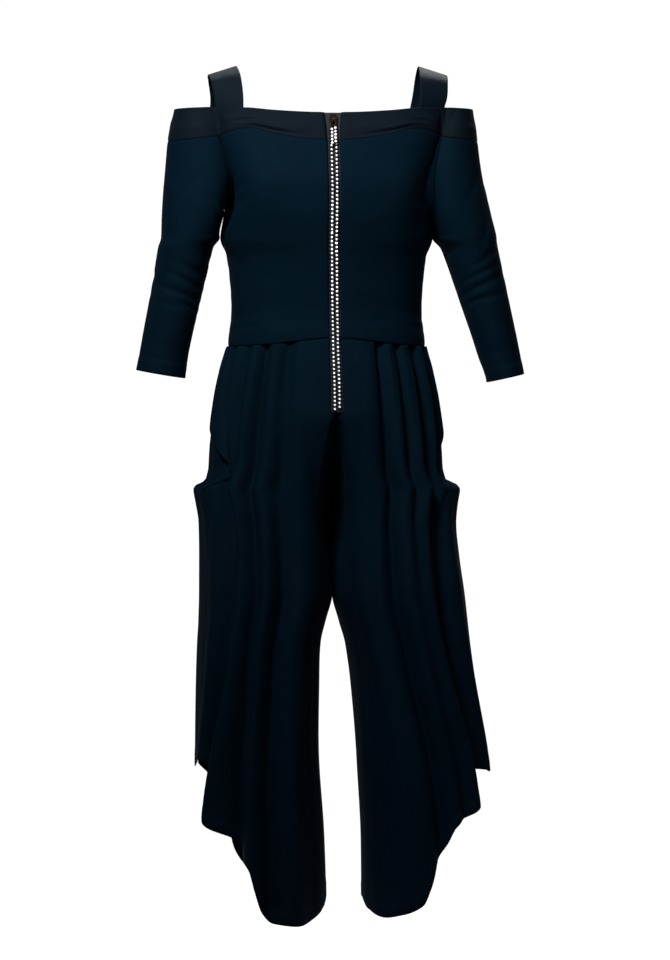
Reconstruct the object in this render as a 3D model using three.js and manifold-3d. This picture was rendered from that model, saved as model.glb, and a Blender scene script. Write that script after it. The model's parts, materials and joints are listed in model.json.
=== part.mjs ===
// A black stretch-jersey jumpsuit, filled out as if worn: a band that runs round the bare
// shoulders, two wide straps, three-quarter sleeves, a zip down the front, a waist seam, and
// pleated trousers with scooped side pockets and hems that fall from high at the side to long
// at the inside leg. Millimetres, +Z up. The front faces -Y, +X is the wearer's left, and the
// origin is midway between the straps where they lie on the shoulders.

import * as THREE from 'three';
import * as BufferGeometryUtils from 'three/addons/utils/BufferGeometryUtils.js';
import Module from 'manifold-3d';

const wasm = await Module();
wasm.setup();

// Driving dimensions

const cloth = 1.8; // the jersey's wall, measured level
const seamGap = 0.3; // pieces stand this far apart along a seam
const halfSeam = seamGap / 2;

const waistSide = -437; // waist seam at the side
const waistFront = -425; // waist seam beside the zip
const armpit = -268;
const zipEnd = -540;
const hipPanelEnd = -706; // the pocket's inner wall ends inside, below the scoop

const tapeHalf = 9.3; // cloth edges stand this far from the zip's middle
const tapeHidden = 15; // the tape goes on behind the cloth to here
const tapeWall = 1.2;
const teethWidth = 6.4;
const teethProud = 0.8; // teeth stand this far in front of the cloth

// Makes a table of rows with named columns.
function table(columns, rows) {
  return rows.map((row) => Object.fromEntries(columns.map((column, i) => [column, row[i]])));
}

// Slope of a smooth curve at one row of a table, zero where the curve turns back.
function slopeAt(rows, key, column, i) {
  if (i === 0 || i === rows.length - 1) {
    return 0;
  }
  const before = (rows[i][column] - rows[i - 1][column]) / (rows[i][key] - rows[i - 1][key]);
  const after = (rows[i + 1][column] - rows[i][column]) / (rows[i + 1][key] - rows[i][key]);
  return before * after <= 0 ? 0 : (2 * before * after) / (before + after);
}

// Reads one column of a table at a height or turn, along a smooth curve through the rows. The
// key column falls or rises steadily, and the first and last rows hold beyond the ends.
function read(rows, key, column, at) {
  const rising = rows[rows.length - 1][key] > rows[0][key] ? 1 : -1;
  if ((at - rows[0][key]) * rising <= 0) {
    return rows[0][column];
  }
  if ((at - rows[rows.length - 1][key]) * rising >= 0) {
    return rows[rows.length - 1][column];
  }
  let i = 0;
  while ((at - rows[i + 1][key]) * rising > 0) {
    i += 1;
  }
  const span = rows[i + 1][key] - rows[i][key];
  const f = (at - rows[i][key]) / span;
  const f2 = f * f;
  const f3 = f2 * f;
  return (
    (2 * f3 - 3 * f2 + 1) * rows[i][column] +
    (f3 - 2 * f2 + f) * span * slopeAt(rows, key, column, i) +
    (3 * f2 - 2 * f3) * rows[i + 1][column] +
    (f3 - f2) * span * slopeAt(rows, key, column, i + 1)
  );
}

function mix(a, b, f) {
  return a + (b - a) * f;
}

function radians(degrees) {
  return (degrees * Math.PI) / 180;
}

// Colours and finishes

const jersey = new THREE.MeshStandardMaterial({ color: 0x0b0d13, roughness: 0.62, metalness: 0 });
const tapeCloth = new THREE.MeshStandardMaterial({ color: 0x08090c, roughness: 0.8, metalness: 0 });
const stones = new THREE.MeshStandardMaterial({ color: 0xd8dce2, roughness: 0.15, metalness: 0.2 });
const gunmetal = new THREE.MeshStandardMaterial({ color: 0x3b3632, roughness: 0.3, metalness: 1 });

const jumpsuit = new THREE.Group();

function addPiece(name, geometry, material, parent = jumpsuit) {
  const mesh = new THREE.Mesh(geometry, material);
  mesh.name = name;
  parent.add(mesh);
  return mesh;
}

// A wall of cloth over a grid. point(s, t) gives the outer face for s and t from 0 to 1, and
// the inner face is the same points moved in, level, by the wall. side is 1 where s runs
// towards +X and round to the back, and -1 for its mirror image.
function wallGeometry(columns, rows, point, side, wall = cloth) {
  const step = 1e-3;
  const positions = [];
  const inner = [];
  const rowPlaces = Array.isArray(rows) ? rows : evenSteps(rows);
  const columnPlaces = Array.isArray(columns) ? columns : evenSteps(columns);
  for (const t of rowPlaces) {
    for (const s of columnPlaces) {
      const here = point(s, t);
      const left = point(Math.max(0, s - step), t);
      const right = point(Math.min(1, s + step), t);
      const up = point(s, Math.max(0, t - step));
      const down = point(s, Math.min(1, t + step));
      const across = right.sub(left);
      const along = down.sub(up);
      const inward = across.cross(along).setZ(0).normalize().multiplyScalar(side * wall);
      positions.push(here.x, here.y, here.z);
      inner.push(here.x + inward.x, here.y + inward.y, here.z);
    }
  }
  return closeWall(positions.concat(inner), columnPlaces.length, rowPlaces.length, side);
}

function evenSteps(count) {
  return Array.from({ length: count + 1 }, (_, i) => i / count);
}

// Heights as places from 0 at the first to 1 at the last.
function placesOf(heights) {
  return heights.map((z) => (z - heights[0]) / (heights.at(-1) - heights[0]));
}

// Joins two like grids of points, the outer face's and then the inner face's, into one closed
// wall.
function closeWall(positions, width, height, side) {
  const faces = [];
  const quad = (a, b, c, d) => {
    if (side > 0) {
      faces.push(a, b, c, a, c, d);
    } else {
      faces.push(a, c, b, a, d, c);
    }
  };
  const outer = (column, row) => row * width + column;
  const innerStart = width * height;
  const inside = (column, row) => innerStart + outer(column, row);
  for (let row = 0; row + 1 < height; row += 1) {
    for (let column = 0; column + 1 < width; column += 1) {
      const right = column + 1;
      const below = row + 1;
      quad(outer(column, row), outer(column, below), outer(right, below), outer(right, row));
      quad(inside(column, row), inside(right, row), inside(right, below), inside(column, below));
    }
    const last = width - 1;
    quad(outer(0, row), inside(0, row), inside(0, row + 1), outer(0, row + 1));
    quad(outer(last, row), outer(last, row + 1), inside(last, row + 1), inside(last, row));
  }
  for (let column = 0; column + 1 < width; column += 1) {
    const right = column + 1;
    const last = height - 1;
    quad(outer(column, 0), outer(right, 0), inside(right, 0), inside(column, 0));
    quad(outer(column, last), inside(column, last), inside(right, last), outer(right, last));
  }
  const geometry = new THREE.BufferGeometry();
  geometry.setAttribute('position', new THREE.Float32BufferAttribute(positions, 3));
  geometry.setIndex(faces);
  geometry.computeVertexNormals();
  return geometry;
}

// Upper body: level sections. half is half the width, front and back are depths from the
// axis, and square is the power that flattens the section's front and back.
const bodySections = table(['z', 'half', 'front', 'back', 'square'], [
  [-60, 190, 92, 103, 3.0],
  [-100, 186, 103, 107, 2.9],
  [-140, 177, 114, 109, 2.7],
  [-190, 168, 124, 109, 2.5],
  [-228, 166, 123, 106, 2.4],
  [-268, 166, 116, 102, 2.3],
  [-300, 156, 109, 98, 2.2],
  [-340, 151, 103, 96, 2.2],
  [-380, 149, 101, 97, 2.1],
  [-437, 154, 105, 104, 2.1],
]);

const bust = { angle: 38, z: -196, across: 16, up: 52, proud: 9 };

// A point of the upper body at an angle from the zip, 90 at the side and 180 at the back.
function bodyPoint(side, angle, z) {
  const power = 2 / read(bodySections, 'z', 'square', z);
  const sine = Math.abs(Math.sin(radians(angle))) ** power;
  const cosine = Math.cos(radians(angle));
  const depth = read(bodySections, 'z', cosine > 0 ? 'front' : 'back', z);
  const swell =
    bust.proud *
    Math.exp(-(((angle - bust.angle) / bust.across) ** 2)) *
    Math.exp(-(((z - bust.z) / bust.up) ** 2));
  const x = read(bodySections, 'z', 'half', z) * sine;
  const y = -Math.sign(cosine) * Math.abs(cosine) ** power * depth;
  return new THREE.Vector3(side * x, y - swell, z);
}

// The angle at which a front edge stands a given distance from the zip's middle.
function angleAcross(distance, z) {
  const power = 2 / read(bodySections, 'z', 'square', z);
  return (Math.asin((distance / read(bodySections, 'z', 'half', z)) ** (1 / power)) * 180) / Math.PI;
}

// Armhole: the angle of its seam on the front, and how far short of 180 it lies on the back.
const armholes = table(['z', 'front', 'back'], [
  [-60, 67, 64],
  [-110, 67, 64],
  [-165, 66, 63],
  [-205, 68, 66],
  [-232, 72, 71],
  [-250, 78, 77],
  [-262, 84, 84],
  [-268, 90, 90],
]);

// Heights of the seams by angle from the zip. band is the seam under the shoulder band.
const bandSeams = table(['angle', 'top', 'band', 'waist'], [
  [0, -74, -116, waistFront],
  [18, -71, -108, -429],
  [36, -67, -98, -434],
  [67, -66, -110, waistSide],
  [90, -68, -118, waistSide],
  [116, -72, -110, waistSide],
  [150, -76, -112, -436],
  [180, -78, -114, -435],
]);

const armholeTop = { front: 67, back: 116 }; // angles where the armhole meets the band

function bandSeam(angle) {
  return read(bandSeams, 'angle', 'band', angle);
}

function waistSeam(angle) {
  return read(bandSeams, 'angle', 'waist', angle);
}

function armholeAngle(z, front) {
  return front ? read(armholes, 'z', 'front', z) : 180 - read(armholes, 'z', 'back', z);
}

const armholeTrim = 0.16; // degrees from the armhole seam to a panel's edge
const sideTrim = 0.08; // degrees from the side seam to a panel's edge

// Bodice fronts: from the zip to the armhole and side seam.
const armholeHeights = [-110, -142, -175, -205, -228, -246, -259, armpit];
const waistHeights = [-286, -318, -356, -396, waistSide];
const bodiceRows = placesOf([...armholeHeights, ...waistHeights]);
const frontColumns = 9;
const backColumns = 8; // on each side of the middle

function bodiceFront(side) {
  const outline = (s, t) => {
    const z = mix(bandSeam(s * armholeTop.front) - halfSeam, waistSeam(s * 90) + halfSeam, t);
    const start = angleAcross(tapeHalf, z);
    const trim = z > armpit ? armholeTrim : sideTrim;
    return bodyPoint(side, mix(start, armholeAngle(z, true) - trim, s), z);
  };
  return wallGeometry(frontColumns, bodiceRows, outline, side);
}

addPiece('bodice_front_left', bodiceFront(-1), jersey);
addPiece('bodice_front_right', bodiceFront(1), jersey);

// Bodice back: one panel, from one armhole and side seam to the other. s runs from the
// wearer's left side to the right.
function bodiceBack() {
  const outline = (s, t) => {
    const across = Math.abs(2 * s - 1);
    const top = bandSeam(mix(180, armholeTop.back, across)) - halfSeam;
    const z = mix(top, waistSeam(180 - across * 90) + halfSeam, t);
    const trim = z > armpit ? armholeTrim : sideTrim;
    const angle = mix(180, armholeAngle(z, false) + trim, across);
    return bodyPoint(s < 0.5 ? 1 : -1, angle, z);
  };
  return wallGeometry(2 * backColumns, bodiceRows, outline, 1);
}

addPiece('bodice_back', bodiceBack(), jersey);

// Sleeves: outside and inside edges seen from the front, and half the depth. Above the
// armpit the inside edge is the armhole, so those rows give only the outside and the depth.
const sleeveWords = ['z', 'outside', 'inside', 'deep'];
const sleeveSections = {
  '-1': table(sleeveWords, [
    [-60, 242, 168, 57],
    [-118, 249, 168, 62],
    [-165, 253, 168, 68],
    [-200, 256, 168, 70],
    [-235, 258, 168, 69],
    [-268, 259, 166.4, 66],
    [-284, 264, 177, 63],
    [-303, 267, 182, 60],
    [-340, 273, 191, 55],
    [-378, 280, 200, 52],
    [-415, 287, 209, 49],
    [-455, 294, 217, 47],
    [-495, 300, 222, 46],
  ]),
  1: table(sleeveWords, [
    [-60, 232, 168, 57],
    [-118, 237, 168, 62],
    [-165, 243, 168, 68],
    [-200, 251, 168, 70],
    [-235, 259, 168, 69],
    [-268, 267, 166.4, 66],
    [-284, 269, 179, 63],
    [-303, 273, 187, 60],
    [-340, 281, 200, 55],
    [-378, 289, 213, 52],
    [-415, 297, 226, 49],
    [-455, 305, 239, 47],
    [-495, 311, 252, 46],
  ]),
};
const cuffs = { '-1': { outside: -474, inside: -487 }, 1: { outside: -480, inside: -493 } };

// Creases at the bend of the elbow: each runs slanting round the sleeve. turn is where it is
// deepest, 90 at the front and 180 outside, slant is millimetres of height for each degree.
const elbowCreases = table(['turn', 'z', 'slant', 'reach', 'tall', 'deep'], [
  [120, -318, 0.16, 60, 9, 3.2],
  [105, -346, 0.2, 55, 9, 4.0],
  [95, -372, 0.18, 50, 9, 3.2],
  [240, -334, -0.12, 55, 10, 3.4],
  [255, -366, -0.14, 50, 10, 3.0],
]);

function creaseDepth(turn, z) {
  return elbowCreases.reduce((sum, crease) => {
    const off = turn - crease.turn;
    const line = crease.z - off * crease.slant;
    const near = Math.exp(-((off / crease.reach) ** 2)) * Math.exp(-(((z - line) / crease.tall) ** 2));
    return sum + crease.deep * near;
  }, 0);
}

// A sleeve's level section is part of an ellipse. Below the armpit it is whole. Above, it
// opens towards the body as the front and back armhole seams part. s runs from the
// underarm or front armhole seam, round the outside, to the back seam.
function sleevePoint(side, s, z, trim) {
  const rows = sleeveSections[side];
  const outside = read(rows, 'z', 'outside', z);
  const deep = read(rows, 'z', 'deep', z);
  const ends = [false, true].map((behind) => {
    if (z <= armpit) {
      return { inside: read(rows, 'z', 'inside', z), start: Math.asin(trim / deep) };
    }
    const seam = bodyPoint(1, armholeAngle(z, !behind), z);
    const open = Math.max(trim, Math.min(Math.abs(seam.y), deep - 0.5));
    return { inside: seam.x + seamGap, start: Math.asin(open / deep) };
  });
  const turn = mix(ends[0].start, 2 * Math.PI - ends[1].start, s);
  const end = turn < Math.PI ? ends[0] : ends[1];
  const reach = (outside - end.inside) / (1 + Math.cos(end.start));
  const crease = creaseDepth((turn * 180) / Math.PI, z);
  const x = outside - reach - (reach - crease) * Math.cos(turn);
  const y = -(deep - crease) * Math.sin(turn);
  return new THREE.Vector3(side * x, y, z);
}

const sleeveColumns = 16;
const forearmHeights = [-288, -308, -327, -346, -366, -390, -420, -455, -487];

function sleeve(side) {
  const places = placesOf([...armholeHeights, ...forearmHeights]);
  const outline = (s, t) => {
    const around = 0.5 - 0.5 * Math.cos(2 * Math.PI * s);
    const top = bandSeam(mix(armholeTop.front, armholeTop.back, s)) - halfSeam;
    const cuff = mix(cuffs[side].inside, cuffs[side].outside, around);
    return sleevePoint(side, s, mix(top, cuff, t), halfSeam);
  };
  return wallGeometry(sleeveColumns, places, outline, side);
}

addPiece('sleeve_left', sleeve(-1), jersey);
addPiece('sleeve_right', sleeve(1), jersey);

// Shoulder band: one piece on each side, from the zip, over the front, round the arm and to
// the middle of the back. It follows the bodice and the sleeve, with the corner between them
// eased.
const bandJoin = { front: 0.36, back: 0.64 };
const bandSetBack = 0.7; // the band's ends stand this much further from the zip than the bodice
const cornerEase = 0.04; // share of the band's length over which its corner is eased

function bandOutline(side, s, z) {
  const start = angleAcross(tapeHalf + bandSetBack, z);
  if (s < bandJoin.front) {
    return bodyPoint(side, mix(start, armholeAngle(z, true), s / bandJoin.front), z);
  }
  if (s > bandJoin.back) {
    const f = (s - bandJoin.back) / (1 - bandJoin.back);
    return bodyPoint(side, mix(armholeAngle(z, false), 180 - sideTrim, f), z);
  }
  return sleevePoint(side, (s - bandJoin.front) / (bandJoin.back - bandJoin.front), z, halfSeam);
}

// The corner at the armhole is eased along the top edge, and kept at the seam below.
function bandPoint(side, s, z, t) {
  const spread = Math.min(cornerEase * (1 - t), s, 1 - s);
  const point = bandOutline(side, s, z).multiplyScalar(2);
  point.add(bandOutline(side, s - spread, z)).add(bandOutline(side, s + spread, z));
  return point.multiplyScalar(0.25);
}

function bandAngle(s) {
  if (s < bandJoin.front) {
    return mix(0, armholeTop.front, s / bandJoin.front);
  }
  if (s > bandJoin.back) {
    return mix(armholeTop.back, 180, (s - bandJoin.back) / (1 - bandJoin.back));
  }
  return mix(armholeTop.front, armholeTop.back, (s - bandJoin.front) / (bandJoin.back - bandJoin.front));
}

// The band's columns are those of the bodice and the sleeve below it.
const bandColumns = [
  ...evenSteps(frontColumns).map((s) => s * bandJoin.front),
  ...evenSteps(sleeveColumns).slice(1).map((s) => mix(bandJoin.front, bandJoin.back, s)),
  ...evenSteps(backColumns).slice(1).map((s) => mix(bandJoin.back, 1, s)),
];
const bandRows = 3;

function band(side) {
  const outline = (s, t) => {
    const angle = bandAngle(s);
    const z = mix(read(bandSeams, 'angle', 'top', angle), bandSeam(angle) + halfSeam, t);
    return bandPoint(side, s, z, t);
  };
  return wallGeometry(bandColumns, bandRows, outline, side);
}

addPiece('band_left', band(-1), jersey);
addPiece('band_right', band(1), jersey);

// Straps: strips that go over the shoulder and are sewn inside the band, front and back. x
// and y are the strip's middle, aside moves both straps the same way, drop is how much lower
// its outer edge lies, and turned is how much nearer the axis that edge lies.
const strapWidth = 46;
const strapWall = 2;
const strapRows = table(['y', 'z', 'x', 'aside', 'drop', 'turned'], [
  [-64.3, -98, 158, 0, 0, 28],
  [-58.5, -74, 158, 0, 1, 26],
  [-54, -48, 161, 2, 4, 18],
  [-41, -21, 163, 1, 10, 8],
  [-15, -9, 165, 1, 14, 1],
  [12, -8, 165, 2, 14, -1],
  [40, -21, 163, 4, 10, -8],
  [54, -48, 160, 4, 5, -17],
  [64, -78, 158, 0, 1, -24],
  [67.8, -98, 157, 0, 0, -27],
]);

// The strip's outer face, its inner face and its width are worked out along the rows.
function strap(side) {
  const middle = new THREE.CatmullRomCurve3(strapRows.map((row) => new THREE.Vector3(row.x, row.y, row.z)));
  const lean = new THREE.CatmullRomCurve3(
    strapRows.map((row) => new THREE.Vector3(strapWidth, row.turned, -row.drop)),
  );
  const steps = 20;
  const outer = [];
  const inner = [];
  for (let i = 0; i <= steps; i += 1) {
    const centre = middle.getPoint(i / steps);
    const aside = strapRows[Math.round((i / steps) * (strapRows.length - 1))].aside;
    const across = lean.getPoint(i / steps).normalize();
    const inward = middle.getTangent(i / steps).cross(across).normalize();
    for (const edge of [-0.5, 0, 0.5]) {
      const out = centre.clone().addScaledVector(across, edge * strapWidth);
      const back = out.clone().addScaledVector(inward, strapWall);
      outer.push(side * out.x + aside, out.y, out.z);
      inner.push(side * back.x + aside, back.y, back.z);
    }
  }
  return closeWall(outer.concat(inner), 3, steps + 1, -side);
}

addPiece('strap_left', strap(-1), jersey);
addPiece('strap_right', strap(1), jersey);

// Trousers: level sections. centre is where the two halves meet, gap is half the space
// between the legs, left and right are the outsides, and split goes from 0, one tube, to 1,
// two legs.
const trouserSections = table(['z', 'centre', 'gap', 'left', 'right', 'front', 'back', 'split'], [
  [-425, 0, 0.2, 154, 154, 104, 103, 0],
  [-437, 0, 0.2, 157, 156, 106, 105, 0],
  [-470, 0, 0.2, 167, 165, 113, 116, 0],
  [-510, 0, 0.2, 176, 173, 119, 125, 0],
  [-540, 0, 0.2, 181, 178, 122, 130, 0],
  [-585, 1, 0.2, 188, 185, 124, 135, 0.12],
  [-625, 3, 0.2, 194, 191, 124, 137, 0.26],
  [-646, 4, 0.2, 202, 200, 124, 138, 0.36],
  [-661, 4, 0.2, 208, 209, 124, 138, 0.42],
  [-680, 5, 0.2, 205, 206, 124, 138, 0.52],
  [-712, 6, 0.2, 200, 203, 123, 137, 0.68],
  [-765, 8, 0.2, 199, 208, 122, 136, 0.88],
  [-821, 9, 0.3, 199, 216, 121, 134, 1],
  [-865, 9, 11, 200, 221, 120, 131, 1],
  [-900, 10, 20, 202, 225, 119, 128, 1],
  [-958, 13, 25, 204, 233, 118, 124, 1],
  [-1085, 18, 30, 206, 249, 114, 118, 1],
  [-1200, 25, 29, 206, 254, 108, 112, 1],
  [-1290, 27, 28, 206, 256, 102, 106, 1],
  [-1345, 28, 30, 204, 255, 96, 100, 1],
]);

// Folds: the turn at which each lies at the waist, thigh and hem, 0 at the inside leg, 180
// at the side, on to 360. pleat, hip, knee and low say how far it stands out (or, below
// zero, in) on the way down, and width is its half width in degrees.
const foldColumns = ['waist', 'thigh', 'hem', 'pleat', 'hip', 'knee', 'low', 'width'];
const folds = {
  '-1': table(foldColumns, [
    [34, 58, 66, 2, 4, 9, 13, 14],
    [52, 78, 86, -5, -6, -13, -17, 9],
    [67, 96, 101, 4, 6, 9, 12, 8],
    [83, 106, 116, -6, -12, -13, -14, 7],
    [98, 118, 143, 4, 7, 12, 20, 9],
    [110, 128, 158, -3, -5, -12, -19, 7],
    [126, 142, 172, 4, 5, 8, 3, 9],
    [142, 118, 130, -8, -9, -1, 0, 6],
    [158, 155, 160, 3, 3, 0, 0, 8],
    [207, 210, 196, -3, -5, -11, -12, 8],
    [222, 228, 216, 3, 7, 11, 10, 9],
    [242, 246, 238, -5, -9, -13, -15, 8],
    [262, 264, 260, 3, 6, 10, 13, 9],
    [286, 284, 280, -5, -8, -12, -15, 9],
    [310, 306, 300, 2, 5, 8, 11, 12],
  ]),
  1: table(foldColumns, [
    [34, 54, 70, 2, 4, 9, 13, 15],
    [54, 77, 98, -6, -10, -14, -14, 7],
    [68, 93, 110, 4, 6, 11, 15, 9],
    [80, 104, 122, -5, -6, -2, -3, 6],
    [95, 112, 132, 4, 6, 10, 18, 9],
    [108, 122, 150, -6, -11, -14, -18, 8],
    [124, 142, 168, 4, 6, 10, 9, 9],
    [140, 130, 140, -6, -7, -1, 0, 6],
    [156, 155, 160, 3, 3, 0, 0, 8],
    [204, 206, 192, -3, -5, -10, -12, 8],
    [220, 224, 210, 3, 6, 11, 15, 9],
    [240, 244, 232, -5, -9, -12, -15, 8],
    [259, 262, 254, 3, 6, 11, 13, 9],
    [284, 286, 276, -5, -9, -12, -14, 9],
    [308, 308, 298, 2, 4, 8, 11, 12],
  ]),
};
const foldHeights = { waist: -437, hip: -600, thigh: -865, hem: -1200 };

// Hems: the height of the edge by turn. They are long at the inside leg and step up, fold by
// fold, to the side, and down again on the back.
const hemColumns = ['turn', 'z'];
const hems = {
  '-1': table(hemColumns, [
    [0, -1288],
    [22, -1311],
    [48, -1333],
    [66, -1340],
    [82, -1336],
    [94, -1320],
    [101, -1282],
    [105, -1254],
    [112, -1238],
    [120, -1208],
    [143, -1180],
    [152, -1096],
    [162, -1080],
    [180, -1092],
    [198, -1076],
    [216, -1086],
    [230, -1112],
    [244, -1180],
    [262, -1244],
    [292, -1312],
    [330, -1300],
    [360, -1288],
  ]),
  1: table(hemColumns, [
    [0, -1293],
    [18, -1313],
    [45, -1327],
    [66, -1322],
    [82, -1308],
    [89, -1280],
    [96, -1240],
    [104, -1214],
    [110, -1186],
    [132, -1156],
    [141, -1108],
    [150, -1096],
    [166, -1100],
    [180, -1092],
    [198, -1076],
    [212, -1090],
    [226, -1140],
    [246, -1180],
    [266, -1240],
    [296, -1304],
    [330, -1300],
    [360, -1293],
  ]),
};

function foldTurn(fold, z) {
  const rows = [
    { z: foldHeights.waist, turn: fold.waist },
    { z: foldHeights.thigh, turn: fold.thigh },
    { z: foldHeights.hem, turn: fold.hem },
  ];
  return read(rows, 'z', 'turn', z);
}

function foldDepth(fold, z) {
  const rows = [
    { z: foldHeights.waist, depth: fold.pleat },
    { z: foldHeights.hip, depth: fold.hip },
    { z: foldHeights.thigh, depth: fold.knee },
    { z: foldHeights.hem, depth: fold.low },
  ];
  return read(rows, 'z', 'depth', z);
}

// How far all the folds move the cloth out at a turn and height. They fade out towards the
// seams at the middle and the inside leg, and beside the pocket, whose scoop draws the cloth
// flat.
const scoopCalm = { turn: 150, across: 34, z: -625, up: 50, share: 0.85 };
const seamCalm = 26; // degrees from a seam over which the folds rise

function foldLift(side, turn, z) {
  const beside = Math.max(0, Math.abs(turn - 180) - (180 - scoopCalm.turn)) / scoopCalm.across;
  const above = (z - scoopCalm.z) / scoopCalm.up;
  const nearScoop = scoopCalm.share * Math.exp(-(beside ** 2) - above ** 2);
  const fade = Math.min(1, turn / seamCalm, (360 - turn) / seamCalm) * (1 - nearScoop);
  const lift = folds[side].reduce((sum, fold) => {
    const off = (turn - foldTurn(fold, z)) / fold.width;
    return sum + foldDepth(fold, z) * Math.exp(-off * off);
  }, 0);
  return lift * fade;
}

// A point of the smooth trousers, before the folds: the section of one tube and the section
// of a leg, mixed by the split. turn goes from 0 at the front middle or inside leg.
function trouserBase(side, turn, z) {
  const at = (column) => read(trouserSections, 'z', column, z);
  const centre = at('centre');
  const outside = side * at(side > 0 ? 'right' : 'left');
  const inside = centre + side * at('gap');
  const depth = turn < 180 ? at('front') : at('back');
  const tube = radians(turn / 2);
  const leg = radians(turn);
  const legMiddle = (inside + outside) / 2;
  const legHalf = (outside - inside) / 2;
  const tubeDepth = Math.cos(tube) > 0 ? at('front') : at('back');
  const split = at('split');
  const tubeX = inside + (outside - inside) * Math.sin(tube);
  const legX = legMiddle - legHalf * Math.cos(leg);
  const y = mix(-tubeDepth * Math.cos(tube), -depth * Math.sin(leg), split);
  return new THREE.Vector3(mix(tubeX, legX, split), y, z);
}

function trouserPoint(side, turn, z, lower = 0) {
  const step = 0.25;
  const before = trouserBase(side, Math.max(0, turn - step), z);
  const after = trouserBase(side, Math.min(360, turn + step), z);
  const outward = new THREE.Vector3(after.y - before.y, before.x - after.x, 0).normalize();
  const lift = foldLift(side, turn, z) - lower;
  return trouserBase(side, turn, z).addScaledVector(outward, side * lift);
}

// The pocket's scooped edge: the turn that the outer cloth reaches, by height. It leaves the
// side at the waist, runs forward down the hip and swings back to the side at its tip.
const pocketEdge = table(['z', 'front', 'back'], [
  [-437, 172, 188],
  [-500, 168, 192],
  [-560, 160, 200],
  [-598, 140, 220],
  [-622, 124, 236],
  [-638, 128, 232],
  [-650, 150, 210],
  [-661, 180, 180],
]);
const trouserTrim = 0.09; // degrees from a side or inside seam to a panel's edge
const wholeFront = 97; // the cloth is whole up to this turn, and beyond its mirror on the back
const wholeBack = 263;
const zipTurn = 6.2; // turn of the cloth's edge beside the zip
const zipClosing = 8; // below the zip its edges meet over this height

// Columns stand at the same turns at every height, but for those that the scoop draws in.
function frontTurn(s, start, z) {
  const edge = read(pocketEdge, 'z', 'front', z) - trouserTrim;
  const bend = wholeFront / 180;
  return s < bend ? mix(start, wholeFront, s / bend) : mix(wholeFront, edge, (s - bend) / (1 - bend));
}

function backTurn(s, z) {
  const edge = read(pocketEdge, 'z', 'back', z) + trouserTrim;
  const bend = (wholeBack - 180) / 180;
  const end = 360 - trouserTrim;
  return s < bend ? mix(edge, wholeBack, s / bend) : mix(wholeBack, end, (s - bend) / (1 - bend));
}

// Row places: many past the pocket's edge, fewer down the leg.
const trouserHeights = [
  waistSide, -463, -494, -524, -531, -560, -583, -604, -622, -638, -650, -661, -688, -730, -775,
  -821, -868, -930, -1000, -1060, -1092,
];
const trouserRows = placesOf(trouserHeights);

function waistTurn(turn) {
  return read(bandSeams, 'angle', 'waist', turn / 2) - halfSeam;
}

function trouserFront(side) {
  const outline = (s, t) => {
    const top = waistTurn(frontTurn(s, zipTurn, waistSide));
    const hem = read(hems[side], 'turn', 'z', frontTurn(s, 0, pocketEdge.at(-1).z));
    const z = mix(top, hem, t);
    const open = Math.min(1, Math.max(0, (z - zipEnd + 1) / zipClosing + 1));
    return trouserPoint(side, frontTurn(s, mix(trouserTrim, zipTurn, open), z), z);
  };
  return wallGeometry(24, trouserRows, outline, side);
}

function trouserBack(side) {
  const outline = (s, t) => {
    const hem = read(hems[side], 'turn', 'z', backTurn(s, pocketEdge.at(-1).z));
    const z = mix(waistTurn(backTurn(s, waistSide)), hem, t);
    return trouserPoint(side, backTurn(s, z), z);
  };
  return wallGeometry(22, trouserRows, outline, side);
}

for (const [word, side] of [['left', -1], ['right', 1]]) {
  addPiece(`trouser_front_${word}`, trouserFront(side), jersey);
  addPiece(`trouser_back_${word}`, trouserBack(side), jersey);
}

// Pocket's inner wall: the hip, seen above the scooped edge. It lies inside the outer cloth,
// closest at the waist, and goes under it on all sides.
const pocketSpace = table(['z', 'space'], [
  [-437, 1],
  [-480, 2],
  [-540, 3],
  [-600, 5],
  [-640, 10],
  [-661, 15],
  [-706, 12],
]);
const pocketLap = 9; // degrees that the inner wall goes on behind the outer cloth
const pocketTuck = 5; // how much deeper its edges lie there
const panelWidest = -612; // it keeps this height's width on down

function hipPanel(side) {
  const outline = (s, t) => {
    const z = mix(waistTurn(mix(pocketEdge[0].front, pocketEdge[0].back, s)), hipPanelEnd, t);
    const lapZ = Math.max(z, panelWidest);
    const start = read(pocketEdge, 'z', 'front', lapZ) - pocketLap;
    const end = read(pocketEdge, 'z', 'back', lapZ) + pocketLap;
    const tuck = pocketTuck * Math.abs(2 * s - 1) ** 4;
    const lower = cloth + read(pocketSpace, 'z', 'space', z) + tuck;
    return trouserPoint(side, mix(start, end, s), z, lower);
  };
  return wallGeometry(14, 9, outline, side);
}

addPiece('hip_panel_left', hipPanel(-1), jersey);
addPiece('hip_panel_right', hipPanel(1), jersey);

// Zip: two tapes behind the cloth's edges, and a strip of teeth set with stones on each.
function frontDepth(z) {
  return z > waistFront ? read(bodySections, 'z', 'front', z) : read(trouserSections, 'z', 'front', z);
}

const zipTop = -75;
const sliderTop = zipTop - 1;
const sliderLength = 22;

// The strips bend at the same heights as the cloth beside them.
const zipHeights = [
  ...evenSteps(bandRows).map((t) => mix(zipTop, bandSeam(0), t)),
  ...bodiceRows.slice(1).map((t) => mix(bandSeam(0), waistSeam(0), t)),
  ...trouserRows.slice(1).map((t) => mix(waistSeam(0), read(hems[1], 'turn', 'z', 0), t)),
].filter((z) => z > zipEnd + 3);

function zipStrip(side, from, to, proud, top, bottom, wall) {
  const heights = [top, ...zipHeights.filter((z) => z < top - 2), bottom];
  const outline = (s, t) => {
    const z = mix(top, bottom, t);
    return new THREE.Vector3(side * mix(from, to, s), -frontDepth(z) - proud, z);
  };
  return wallGeometry(1, placesOf(heights), outline, side, wall);
}

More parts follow.
